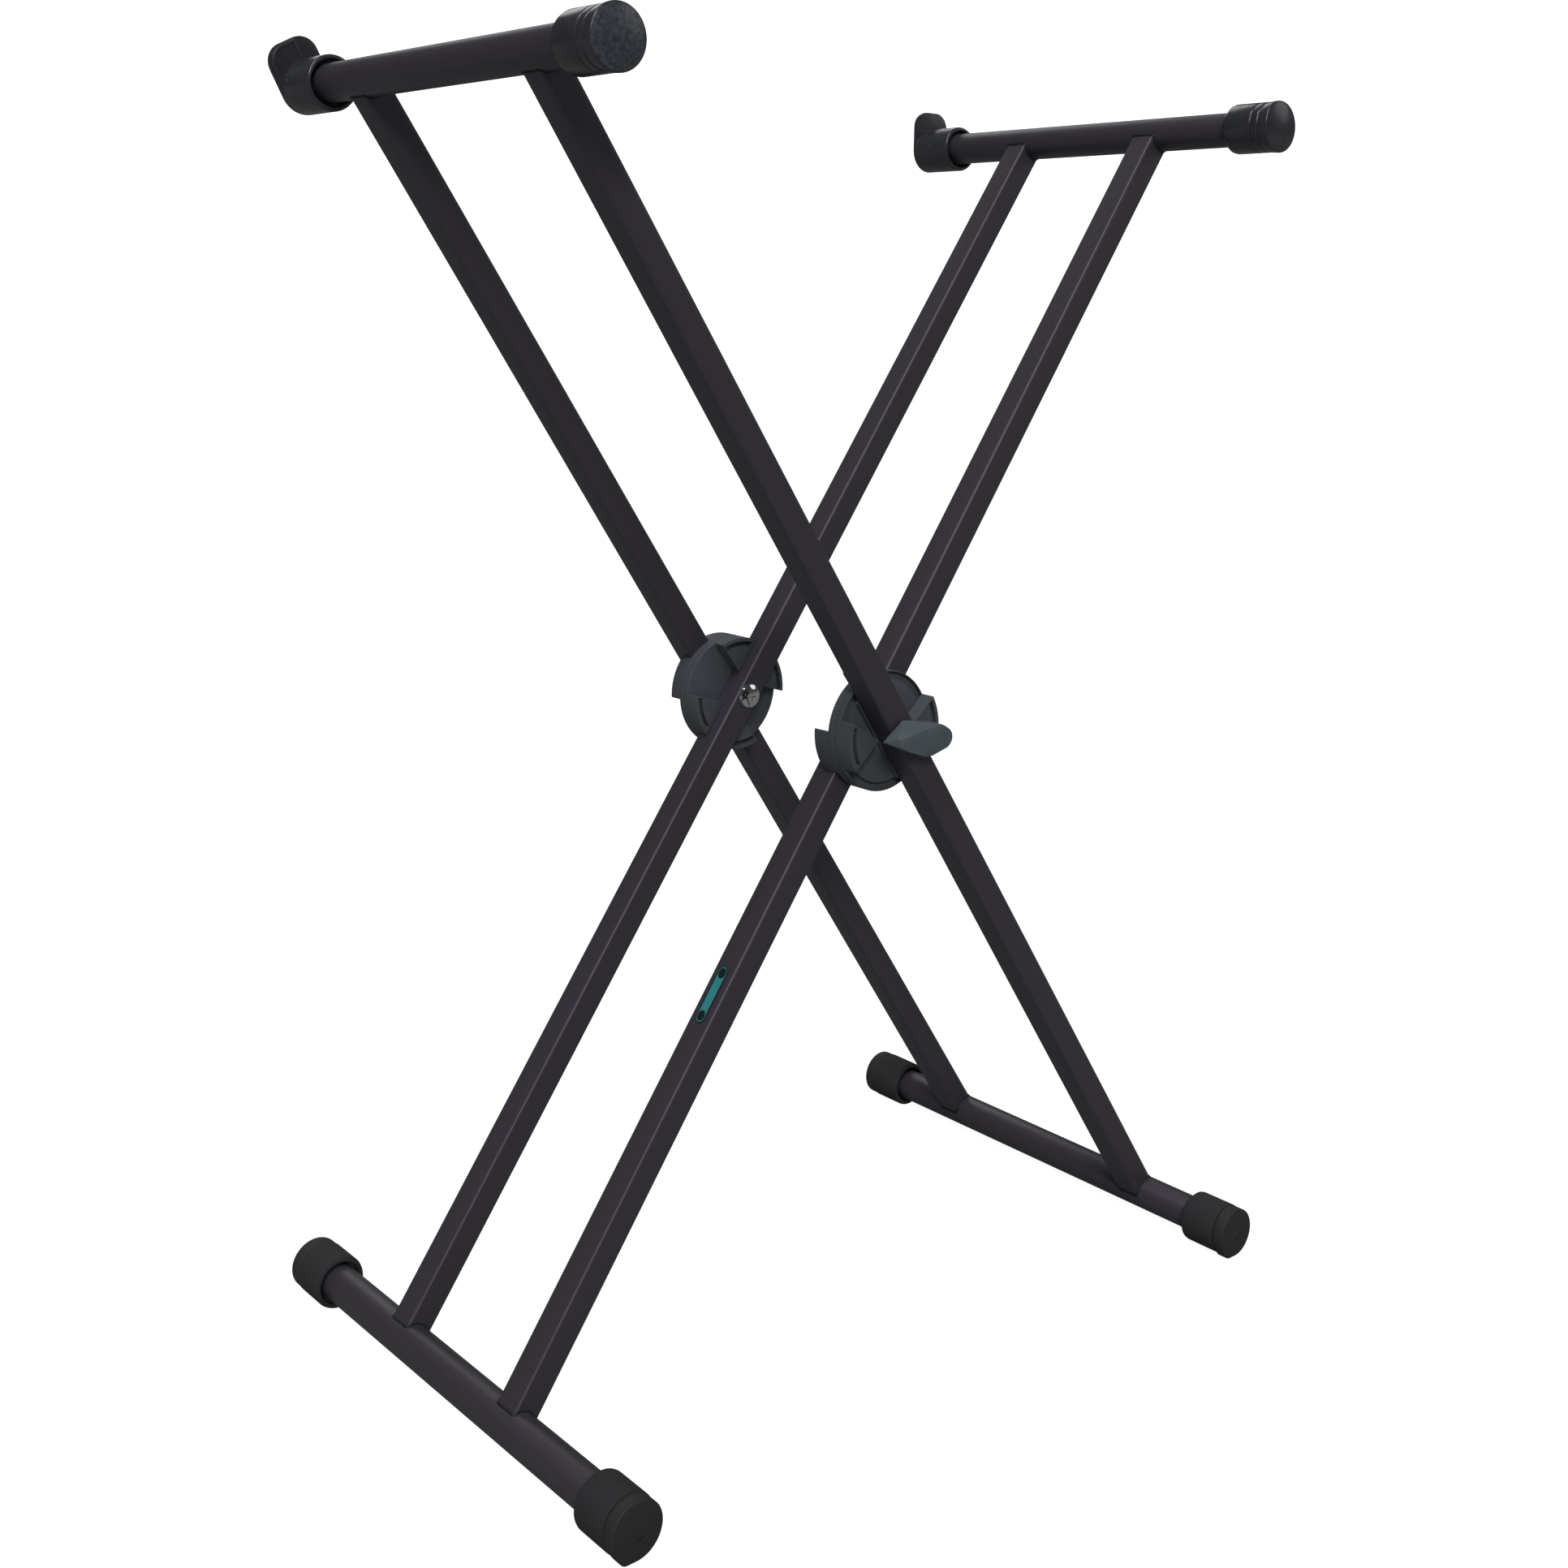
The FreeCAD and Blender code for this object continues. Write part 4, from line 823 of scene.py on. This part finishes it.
def make_stop(settings, node, tube, lean, dimples, panelled=False):
    """Make a sleeve closed by a plate that rises as a tab; local Y runs up the tab."""
    bore = tube_radius() + SLEEVE_FIT
    low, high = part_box(node)
    centre = middle(tube)
    radius = centre.z - low.z
    run = high.y - low.y
    sleeve_run = run - settings.flange
    rise = tab_rise(high, centre, radius, settings, lean)
    mouth = tube_radius() + settings.mouth_gap
    back = run - settings.flange_cover
    sleeve = turned([(bore, sleeve_run, 0), (0, sleeve_run, 0), (0, back, 0), (radius, back, 0),
                     (radius, 0, settings.lip), (mouth, 0, settings.inner_lip),
                     (mouth, settings.mouth_depth, 0), (bore, settings.mouth_depth, 0)])
    tab = slab(2 * radius, radius + rise, sleeve_run, run, y=(rise - radius) / 2)
    round_edges(tab, settings.corner, lambda edge: is_upright(edge) and edge.verts[0].co.y > 0,
                segments=10)
    round_edges(tab, radius - SAME_PLACE, lambda edge: is_upright(edge) and is_sharp(edge)
                and edge.verts[0].co.y < 0, segments=16)
    round_edges(tab, settings.edge, is_sharp)
    shape = joined(sleeve, tab)
    if panelled:
        near_face = sleeve_run - settings.block_rise
        block = half_tab(settings, radius, rise, settings.block_margin, 0.0, near_face, run - OVERRUN)
        round_edges(block, settings.edge * 0.8, lambda edge: is_sharp(edge)
                    and all(vert.co.z < sleeve_run for vert in edge.verts))
        panel = half_tab(settings, radius, rise, settings.block_margin + settings.panel_margin,
                         settings.panel_foot, near_face - OVERRUN, near_face + settings.panel_depth)
        shape = joined(shape, without(block, panel))
    for along, turn, long, wide, depth in dimples:
        shape = without(shape, dent(along, turn, long, wide, depth, radius))
    place = upright(centre.x, low.y, centre.z, FAR, -lean)
    dress(node, shape, "moulded", ["cap_rubber"], place)


def half_tab(settings, radius, rise, margin, foot, low, high):
    """Make the half of a tab towards local X, inside its edge by a margin, up from a foot line."""
    inner = margin - settings.block_margin - settings.block_edge
    outer = radius - margin
    top = rise - margin
    half = slab(outer - inner, top - foot, low, high, (outer + inner) / 2, (top + foot) / 2)
    round_edges(half, settings.corner - margin, lambda edge: is_upright(edge) and edge.verts[0].co.x > 0
                and edge.verts[0].co.y > rise / 2 + foot / 4, segments=10)
    return half


def dent(along, turn, long, wide, depth, radius):
    """Make the tool for a shallow dent in a sleeve's side, at a run from its mouth and a turn."""
    tool = bmesh.new()
    bmesh.ops.create_uvsphere(tool, u_segments=24, v_segments=12, radius=1.0)
    size = Matrix.Diagonal((depth, wide / 2, long / 2, 1.0))
    place = Matrix.Rotation(turn, 4, "Z") @ Matrix.Translation((radius + MARGIN, 0, along))
    return moved(tool, place @ size)


def tab_rise(high, centre, radius, settings, lean):
    """Work out the tab's height above the tube's axis from the top of its box."""
    top = high.z - centre.z
    inset = radius - settings.corner
    return (top - settings.corner - inset * math.sin(lean)) / math.cos(lean) + settings.corner


def make_foot_sleeve(settings, node, tube, outward):
    """Make a foot sleeve with a round shoulder at its mouth and a small flat underneath."""
    bore = tube_radius() + SLEEVE_FIT
    low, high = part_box(node)
    centre = middle(tube)
    radius = high.z - centre.z
    run = high.y - low.y
    mouth = tube_radius() + settings.mouth_gap
    inside = run - settings.end_wall
    hole = settings.spigot + SLEEVE_FIT
    shape = turned([(hole, run, 0), (radius, run, settings.edge), (radius, 0, settings.shoulder),
                    (mouth, 0, 0), (mouth, settings.mouth_depth, 0), (bore, settings.mouth_depth, 0),
                    (bore, inside, 0), (hole, inside, 0)])
    cut_off(shape, (0, low.z - centre.z, 0), (0, -1, 0), SAME_PLACE / 10)
    bmesh.ops.recalc_face_normals(shape, faces=shape.faces)
    mouth_y = outward_face(node, -outward)
    dress(node, shape, "moulded", ["black_rubber"], upright(centre.x, mouth_y, centre.z, outward))


def make_levelling_ring(settings, node, tube, outward):
    """Make a round disc drawn out to one blunt corner, with a curved mould mark in its end face."""
    centre = middle(tube)
    sleeve = node.replace("levelling_ring", "foot_sleeve")
    inner_y = outward_face(sleeve, outward) + outward * settings.ring_gap
    run = abs(outward_face(node, outward) - inner_y)
    radius = settings.ring_radius
    corner = corner_direction(node, centre, radius, outward)
    reach = settings.ring_corner - settings.corner_radius
    shape = bmesh.new()
    lean = Matrix.Translation((*polar(reach, corner), 0))
    for size, where in ((radius, Matrix()), (settings.corner_radius, lean)):
        for height in (0, run):
            level = where @ Matrix.Translation((0, 0, height))
            bmesh.ops.create_circle(shape, segments=96, radius=size, matrix=level)
    bmesh.ops.convex_hull(shape, input=shape.verts)
    loose = [vert for vert in shape.verts if not vert.link_faces]
    bmesh.ops.delete(shape, geom=loose, context="VERTS")
    clean_flats(shape)
    round_edges(shape, settings.ring_edge, lambda edge: is_sharp(edge, RIM_EDGE))
    mark = settings.mark_radius
    half = settings.mark_width / 2
    stamp = arc_block(mark - half, mark + half, run - settings.mark_depth, run + OVERRUN, *MARK_TURNS, 20)
    shape = without(shape, moved(stamp, Matrix.Translation(MARK_PLACE)))
    shape = joined(shape, drum(settings.spigot, -settings.spigot_reach, SPIGOT_OVERLAP, 48))
    dress(node, shape, "moulded", ["foot_plastic"], upright(centre.x, inner_y, centre.z, outward))


def corner_direction(node, centre, radius, outward):
    """Find which way a ring's corner points from the points of its node beyond its round side."""
    steps = [(vert.co.x - centre.x, vert.co.z - centre.z) for vert in frame["nodes"][node].data.vertices]
    beyond = [step for step in steps if math.hypot(*step) > radius + CORNER_START]
    return math.atan2(sum(up for _, up in beyond), -outward * sum(right for right, _ in beyond))


# The two hubs

LOBE_OVERLAP = 0.2 * MM


def wedge(tip, first, last, reach):
    """Return the outline of a wedge from a tip, between two directions."""
    spokes = [polar(reach, turn) for turn in (first, (first + last) / 2, last)]
    return [tip] + [(tip[0] + x, tip[1] + y) for x, y in spokes]


def beside_arm(edge_y, tip, last, reach):
    """Return the outline between an arm's side and a direction, for a lobe that flanks the arm."""
    x, y = polar(reach, last)
    return [(tip + edge_y / math.tan(last), edge_y), (reach, edge_y), (tip + x, y)]


def make_lobe(settings, outline, radius, low, high, slot_turns):
    """Make one raised lobe of a shell, rounded at its corners and its top, with an arc slot in it."""
    lobe = combined(drum(radius, low, high), prism(outline, low - OVERRUN, high + OVERRUN), "INTERSECT")
    clean_flats(lobe)
    round_edges(lobe, settings.lobe_round, lambda edge: is_upright(edge) and is_sharp(edge), segments=4)
    top = high - SAME_PLACE
    round_edges(lobe, settings.edge, lambda edge: is_sharp(edge)
                and all(vert.co.z > top for vert in edge.verts))
    slot = arc_block(settings.slot_inner, settings.slot_outer, high - settings.slot_depth, high + OVERRUN,
                     *slot_turns)
    return without(lobe, slot)


def make_shell(settings, node, arm, parting_y, outward, single=False, has_saddle=True):
    """Make a hub shell; local X runs along its arm, local Z from the seam to the arm."""
    radius = size_of(node).x / 2
    reach = 2 * radius
    side = size_of("outer_front_arm").y
    arm_face = abs(outward_face(arm, -outward) - parting_y)
    top = abs(outward_face(node, outward) - parting_y)
    floor = arm_face - (settings.saddle if has_saddle else 0.0)
    low = floor - LOBE_OVERLAP
    ceiling = floor - settings.floor
    seam = settings.seam / 2
    groove_floor = floor - settings.groove_depth
    groove = []
    if single:
        groove = [(settings.groove_outer, floor, settings.groove_edge),
                  (settings.groove_outer, groove_floor, 0), (settings.slot_inner, groove_floor, 0),
                  (settings.slot_inner, floor, settings.seam_edge)]
    rim_round = settings.groove_rim if single else settings.edge
    shell = turned([(settings.bore, ceiling, 0), (settings.cavity, ceiling, 0), (settings.cavity, seam, 0),
                    (radius, seam, settings.seam_edge), (radius, floor, rim_round), *groove,
                    (settings.bore, floor, 0)])
    if has_saddle:
        width = side + 2 * settings.saddle_margin
        pad = combined(slab(4 * radius, width, low, arm_face), drum(settings.slot_inner, 0, top), "INTERSECT")
        pad = without(pad, drum(settings.bore, 0, top))
        shell = joined(shell, pad)
    channel = side / 2 + settings.channel_gap
    if single:
        tip = (settings.tip_along, settings.tip_across)
        outline = wedge(tip, settings.single_start, settings.single_end, reach)
        slot_turns = (settings.single_slot_start, settings.single_slot_end)
    else:
        outline = beside_arm(channel, settings.paired_tip, settings.paired_end, reach)
        slot_turns = (settings.slot_start, settings.slot_end)
    for half_turn in (0.0, math.pi):
        for side_sign in (1,) if single else (1, -1):
            lobe = make_lobe(settings, outline, radius, low, top, slot_turns)
            mirror = Matrix.Scale(side_sign, 4, (0, 1, 0))
            moved(lobe, Matrix.Rotation(half_turn, 4, "Z") @ mirror)
            bmesh.ops.recalc_face_normals(lobe, faces=lobe.faces)
            shell = joined(shell, lobe)
    lean = arm_lean(arm)
    place = upright(0, parting_y, pivot_height(), outward, lean if outward < 0 else math.pi - lean)
    dress(node, shell, "moulded", ["hub_nylon"], place)


def arm_lean(arm):
    """Return the turn about the near-facing axis that lays local X along an arm."""
    frame_name = arm.split("_")[0]
    foot = middle(f"{frame_name}_foot_tube")
    top = middle(f"{frame_name}_top_tube")
    return math.atan2(top.z - foot.z, top.x - foot.x)


# Lever, fasteners and badge

FACET_EDGE = math.radians(18)
LEVER_SLANT = 0.6
# corners of the lever's round end, as shares of its length and of its half height
LEVER_END = ((0.94, -0.55), (1.0, 0.15), (0.65, 0.7))
DOME_STEPS = (0.25, 0.5, 0.75, 0.93)
DOME_SPAN = 0.93
HEAD_RIM = 0.85
NUT_CHAMFER = 0.7
# a badge oval's inset in border widths, its length to its width, and its place from the end
OVAL_INSET, OVAL_LENGTH, OVAL_PLACE = 3.2, 1.15, 0.58


def make_lever(settings):
    """Make the leaf-shaped release lever with its slanting ridge."""
    node = "release_lever"
    low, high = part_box(node)
    tip, end, peak = settings.tip, settings.end, settings.peak
    depth = high.y - low.y
    slant = LEVER_SLANT * peak
    outline = [(-tip, 0), (-slant, -slant), (slant, -peak),
               *((along * end, up * peak) for along, up in LEVER_END), (-slant, peak)]
    shape = prism(outline, 0, depth)
    round_edges(shape, settings.rounding, lambda edge: is_upright(edge) and edge.verts[0].co.x > peak / 4,
                segments=8)
    for x, y, turn, slope in ((-slant, peak, settings.ridge_turn, settings.ridge_slope),
                              (-tip, 0, settings.nose_turn, settings.nose_slope)):
        normal = Matrix.Rotation(turn, 3, "Z") @ Matrix.Rotation(slope, 3, "X") @ Vector((0, 1, 0))
        cut_off(shape, (x, y, 0), normal)
    tidy(shape)
    round_edges(shape, settings.edge, lambda edge: is_sharp(edge, FACET_EDGE))
    dress(node, shape, "moulded", ["lever_nylon"], upright(0, high.y, pivot_height(), NEAR))


def make_bolt(settings, node, outward):
    """Make a pivot bolt with a domed head and a cross recess; its head faces inwards."""
    low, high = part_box(node)
    head = (high.x - low.x) / 2
    run = high.y - low.y
    rise = settings.head_height
    corners = [(0, 0, 0)]
    for part in DOME_STEPS:
        corners.append((head * part, rise * (1 - math.sqrt(1 - (part * DOME_SPAN) ** 2)), 0))
    corners += [(head, rise * HEAD_RIM, settings.head_edge), (head, rise, settings.head_edge),
                (settings.shank, rise, 0), (settings.shank, run, settings.shank_end), (0, run, 0)]
    shape = turned(corners, 64)
    for turn in (0.0, QUARTER_TURN):
        arm = slab(settings.recess_span, settings.recess_width, -OVERRUN, settings.recess_depth)
        shape = without(shape, moved(arm, Matrix.Rotation(turn, 4, "Z")))
    place = upright(0, outward_face(node, -outward), pivot_height(), outward)
    dress(node, shape, "polished", ["polished_chrome"], place)


def make_washer(settings, node):
    low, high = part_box(node)
    radius = (high.x - low.x) / 2
    run = high.y - low.y
    bore = settings.shank + TURNING_FIT
    edge = settings.edge
    shape = turned([(radius, 0, edge), (radius, run, edge), (bore, run, 0), (bore, 0, 0)], 64)
    dress(node, shape, "plated", ["zinc_steel"], upright(0, low.y, pivot_height(), FAR))


def make_lock_nut(settings, node):
    """Make a hexagon nut whose corners are turned off at its outer end."""
    low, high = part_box(node)
    across_corners = (high.x - low.x) / 2
    run = high.y - low.y
    hexagon = prism([polar(across_corners, side * FULL_TURN / 6) for side in range(6)], 0, run)
    inscribed = across_corners * math.cos(FULL_TURN / 12)
    chamfer = across_corners - inscribed
    beyond = across_corners + MARGIN
    blank = turned([(0, 0, 0), (beyond, 0, 0), (beyond, run - chamfer * NUT_CHAMFER, 0),
                    (inscribed, run, 0), (0, run, 0)])
    shape = combined(hexagon, blank, "INTERSECT")
    shape = without(shape, drum(settings.shank + TURNING_FIT, -OVERRUN, run + OVERRUN, 48))
    dress(node, shape, "plated", ["zinc_steel"], upright(0, low.y, pivot_height(), FAR))


def pill(long, wide, low, high):
    """Make a plate with half-round ends along local X."""
    shape = slab(long, wide, low, high)
    return round_edges(shape, wide / 2 - SAME_PLACE, is_upright, segments=12)


def make_badge(settings):
    """Make the bare badge: a dark plate with a teal field and a plain dark oval at each end."""
    node = "badge"
    low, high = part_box(node)
    wide = high.y - low.y
    lean = arm_lean("inner_front_arm")
    depth = settings.depth
    long = (high.x - low.x - depth * math.sin(lean)) / math.cos(lean)
    centre = (low + high) / 2
    along = Vector((math.cos(lean), 0, math.sin(lean)))
    out = Vector((-math.sin(lean), 0, math.cos(lean)))
    turn = Matrix((along, out.cross(along), out)).transposed().to_4x4()
    place = Matrix.Translation(centre - out * depth / 2) @ turn
    field_top = depth - settings.relief
    plate = pill(long, wide, 0, field_top)
    round_edges(plate, settings.edge, is_sharp, 2)
    dress(node, plate, "plate", ["badge_dark"], place)
    border = settings.border
    field = pill(long - 2 * border, wide - 2 * border, field_top - settings.field_sink,
                 field_top + settings.field_rise)
    finished(field, "badge_field", body_of(node), ["badge_teal"], (), place)
    oval_wide = wide - OVAL_INSET * border
    for sign, end in ((1, "upper"), (-1, "lower")):
        oval = pill(oval_wide * OVAL_LENGTH, oval_wide, field_top, depth)
        moved(oval, Matrix.Translation((sign * (long / 2 - wide * OVAL_PLACE), 0, 0)))
        finished(oval, f"badge_{end}_oval", body_of(node), ["badge_dark"], (), place)


HIDDEN_FINISHES = {
    "spacer": "zinc_steel",
    "clutch_plate": "zinc_steel",
    "lever_nut": "zinc_steel",
    "friction_disc": "friction_fibre",
    "disc_spring": "spring_steel",
    "bush": "white_nylon",
}


# Operators


class StandOperator:
    bl_options = {"REGISTER", "UNDO"}


class STAND_OT_round_tubes(StandOperator, bpy.types.Operator):
    """Make the top and foot tubes of both frames"""
    bl_idname = "stand.round_tubes"
    bl_label = "Round tubes"

    def execute(self, context):
        for frame_name in FRAMES:
            for end in ("top", "foot"):
                make_round_tube(context.scene.keyboard_stand.frames, f"{frame_name}_{end}_tube")
        return {"FINISHED"}


class STAND_OT_arms(StandOperator, bpy.types.Operator):
    """Make the four square arms and the weld beads at their ends"""
    bl_idname = "stand.arms"
    bl_label = "Arms and welds"

    def execute(self, context):
        for frame_name in FRAMES:
            for end in ARM_ENDS:
                make_arm(context.scene.keyboard_stand.frames, f"{frame_name}_{end}_arm", frame_name)
        return {"FINISHED"}


class STAND_OT_top_caps(StandOperator, bpy.types.Operator):
    """Make the rubber caps on the near ends of the top tubes"""
    bl_idname = "stand.top_caps"
    bl_label = "Top caps"

    def execute(self, context):
        settings = context.scene.keyboard_stand.caps
        # The outer cap's end gets a painted sheen in its tone; the inner cap's end stays plain cap rubber
        for frame_name, end_finish in (("outer", "leathery_rubber"), ("inner", "cap_rubber")):
            make_top_cap(settings, f"{frame_name}_top_cap", f"{frame_name}_top_tube", end_finish)
        return {"FINISHED"}


class STAND_OT_keyboard_stops(StandOperator, bpy.types.Operator):
    """Make the rubber keyboard stops on the far ends of the top tubes"""
    bl_idname = "stand.keyboard_stops"
    bl_label = "Keyboard stops"

    def execute(self, context):
        settings = context.scene.keyboard_stand.stops
        make_stop(settings, "outer_keyboard_stop", "outer_top_tube", settings.lean, OUTER_DENTS,
                  panelled=True)
        make_stop(settings, "inner_keyboard_stop", "inner_top_tube", 0.0, INNER_DENTS)
        return {"FINISHED"}


class STAND_OT_feet(StandOperator, bpy.types.Operator):
    """Make the four foot sleeves and their levelling rings"""
    bl_idname = "stand.feet"
    bl_label = "Feet"

    def execute(self, context):
        settings = context.scene.keyboard_stand.feet
        for frame_name in FRAMES:
            tube = f"{frame_name}_foot_tube"
            for end, outward in ENDS.items():
                make_foot_sleeve(settings, f"{frame_name}_{end}_foot_sleeve", tube, outward)
                make_levelling_ring(settings, f"{frame_name}_{end}_levelling_ring", tube, outward)
        return {"FINISHED"}


class STAND_OT_hub_shells(StandOperator, bpy.types.Operator):
    """Make the four half shells of the two hubs"""
    bl_idname = "stand.hub_shells"
    bl_label = "Hub shells"

    def execute(self, context):
        settings = context.scene.keyboard_stand.hubs
        front = (outward_face("outer_front_arm", FAR) + outward_face("inner_front_arm", NEAR)) / 2
        rear = (outward_face("outer_rear_arm", NEAR) + outward_face("inner_rear_arm", FAR)) / 2
        make_shell(settings, "front_hub_outer_shell", "outer_front_arm", front, NEAR, single=True)
        make_shell(settings, "front_hub_inner_shell", "inner_front_arm", front, FAR)
        make_shell(settings, "rear_hub_inner_shell", "inner_rear_arm", rear, NEAR, has_saddle=False)
        make_shell(settings, "rear_hub_outer_shell", "outer_rear_arm", rear, FAR, has_saddle=False)
        return {"FINISHED"}


class STAND_OT_release_lever(StandOperator, bpy.types.Operator):
    """Make the release lever in front of the front hub"""
    bl_idname = "stand.release_lever"
    bl_label = "Release lever"

    def execute(self, context):
        make_lever(context.scene.keyboard_stand.lever)
        return {"FINISHED"}


class STAND_OT_fasteners(StandOperator, bpy.types.Operator):
    """Make the pivot bolts, washers and the lock nut"""
    bl_idname = "stand.fasteners"
    bl_label = "Fasteners"

    def execute(self, context):
        settings = context.scene.keyboard_stand.fasteners
        make_bolt(settings, "front_pivot_bolt", NEAR)
        make_bolt(settings, "rear_pivot_bolt", FAR)
        for node in ("thrust_washer", "rear_washer"):
            make_washer(settings, node)
        make_lock_nut(settings, "rear_lock_nut")
        return {"FINISHED"}


class STAND_OT_badge(StandOperator, bpy.types.Operator):
    """Make the bare badge on the inner front arm"""
    bl_idname = "stand.badge"
    bl_label = "Badge"

    def execute(self, context):
        make_badge(context.scene.keyboard_stand.badge)
        return {"FINISHED"}


class STAND_OT_inside_parts(StandOperator, bpy.types.Operator):
    """Give the parts inside the hubs and arms their finishes"""
    bl_idname = "stand.inside_parts"
    bl_label = "Inside parts"

    def execute(self, context):
        for node, part in frame["nodes"].items():
            kinds = [finish_name for ending, finish_name in HIDDEN_FINISHES.items() if node.endswith(ending)]
            if kinds:
                part.data.materials.clear()
                part.data.materials.append(finish(kinds[0]))
        return {"FINISHED"}


class STAND_OT_stage(StandOperator, bpy.types.Operator):
    """Set the camera, the floor, the walls and the lights"""
    bl_idname = "stand.stage"
    bl_label = "Stage"

    def execute(self, context):
        settings = context.scene.keyboard_stand.stage
        set_camera(context.scene, settings)
        make_floor(settings)
        light_stage(context.scene, settings)
        return {"FINISHED"}


def set_camera(scene, settings):
    camera = bpy.data.cameras.new("photo_camera")
    camera.sensor_width = 36.0
    camera.lens = camera.sensor_width * settings.focal / settings.photo_side
    camera.shift_y = settings.centre_row / settings.photo_side - 0.5
    camera.clip_end = 100.0
    eye = bpy.data.objects.new("photo_camera", camera)
    scene.collection.objects.link(eye)
    look = (Matrix.Rotation(-settings.yaw, 4, "Z") @ Matrix.Rotation(QUARTER_TURN - settings.pitch, 4, "X")
            @ Matrix.Rotation(settings.roll, 4, "Z"))
    eye.matrix_world = Matrix.Translation(settings.eye) @ look
    scene.camera = eye
    scene.view_settings.view_transform = "Standard"


def make_floor(settings):
    shape = bmesh.new()
    bmesh.ops.create_grid(shape, x_segments=1, y_segments=1, size=settings.floor_size / 2)
    mesh = bpy.data.meshes.new("floor")
    shape.to_mesh(mesh)
    shape.free()
    material = bpy.data.materials.new("pale_floor")
    material.use_nodes = True
    tree = material.node_tree
    surface = tree.nodes["Principled BSDF"]
    sight = add_node(tree, "LightPath").outputs["Is Camera Ray"]
    glow = add_node(tree, "Math", {0: sight, 1: settings.floor_glow}, operation="MULTIPLY")
    feed(tree, surface, {"Base Color": (*settings.floor_colour, 1.0), "Roughness": 0.9,
                         "Specular IOR Level": 0.1, "Emission Color": WHITE,
                         "Emission Strength": glow.outputs[0]})
    mesh.materials.append(material)
    floor = bpy.data.objects.new("floor", mesh)
    bpy.context.scene.collection.objects.link(floor)


def light_stage(scene, settings):
    """Light the stand from a soft key light over the camera, between walls that reflect only dimly."""
    world = bpy.data.worlds.new("studio")
    world.use_nodes = True
    scene.world = world
    tree = world.node_tree
    sight = add_node(tree, "LightPath").outputs["Is Camera Ray"]
    glow = add_node(tree, "MapRange", {"Value": sight, "To Min": settings.surroundings,
                                       "To Max": settings.backdrop})
    feed(tree, tree.nodes["Background"], {"Color": WHITE, "Strength": glow.outputs["Result"]})
    for name, strength, direction, spread in (
        ("key_light", settings.key_strength, Vector((-0.5, -0.68, 0.52)), settings.key_spread),
        ("fill_light", settings.fill_strength, Vector((0.9, -0.6, 0.5)), 2 * settings.key_spread),
        ("top_light", settings.top_strength, Vector((-0.42, -0.1, 0.9)), 1.5 * settings.key_spread),
        ("back_light", settings.back_strength, Vector((0.45, 0.9, 0.75)), 2 * settings.key_spread),
    ):
        light = bpy.data.lights.new(name, "SUN")
        light.energy = strength
        light.angle = spread
        lamp = bpy.data.objects.new(name, light)
        lamp.rotation_euler = (-direction).to_track_quat("-Z", "Y").to_euler()
        scene.collection.objects.link(lamp)


class STAND_PT_panel(bpy.types.Panel):
    """The stand's operators"""
    bl_idname = "STAND_PT_panel"
    bl_label = "Keyboard stand"
    bl_space_type = "VIEW_3D"
    bl_region_type = "UI"
    bl_category = "Stand"

    def draw(self, context):
        for operator in OPERATORS:
            self.layout.operator(operator.bl_idname)


OPERATORS = (
    STAND_OT_stage, STAND_OT_round_tubes, STAND_OT_arms, STAND_OT_top_caps, STAND_OT_keyboard_stops,
    STAND_OT_feet, STAND_OT_hub_shells, STAND_OT_release_lever, STAND_OT_fasteners, STAND_OT_badge,
    STAND_OT_inside_parts,
)
CLASSES = (
    FrameSettings, CapSettings, StopSettings, FootSettings, HubSettings, LeverSettings, FastenerSettings,
    BadgeSettings, StageSettings, FinishSettings, StandSettings, *OPERATORS, STAND_PT_panel,
)


def register():
    for item in CLASSES:
        bpy.utils.register_class(item)
    bpy.types.Scene.keyboard_stand = PointerProperty(type=StandSettings)


def unregister():
    del bpy.types.Scene.keyboard_stand
    for item in reversed(CLASSES):
        bpy.utils.unregister_class(item)


def main():
    register()
    for operator in OPERATORS:
        area, name = operator.bl_idname.split(".")
        getattr(getattr(bpy.ops, area), name)()


if __name__ == "__main__":
    main()
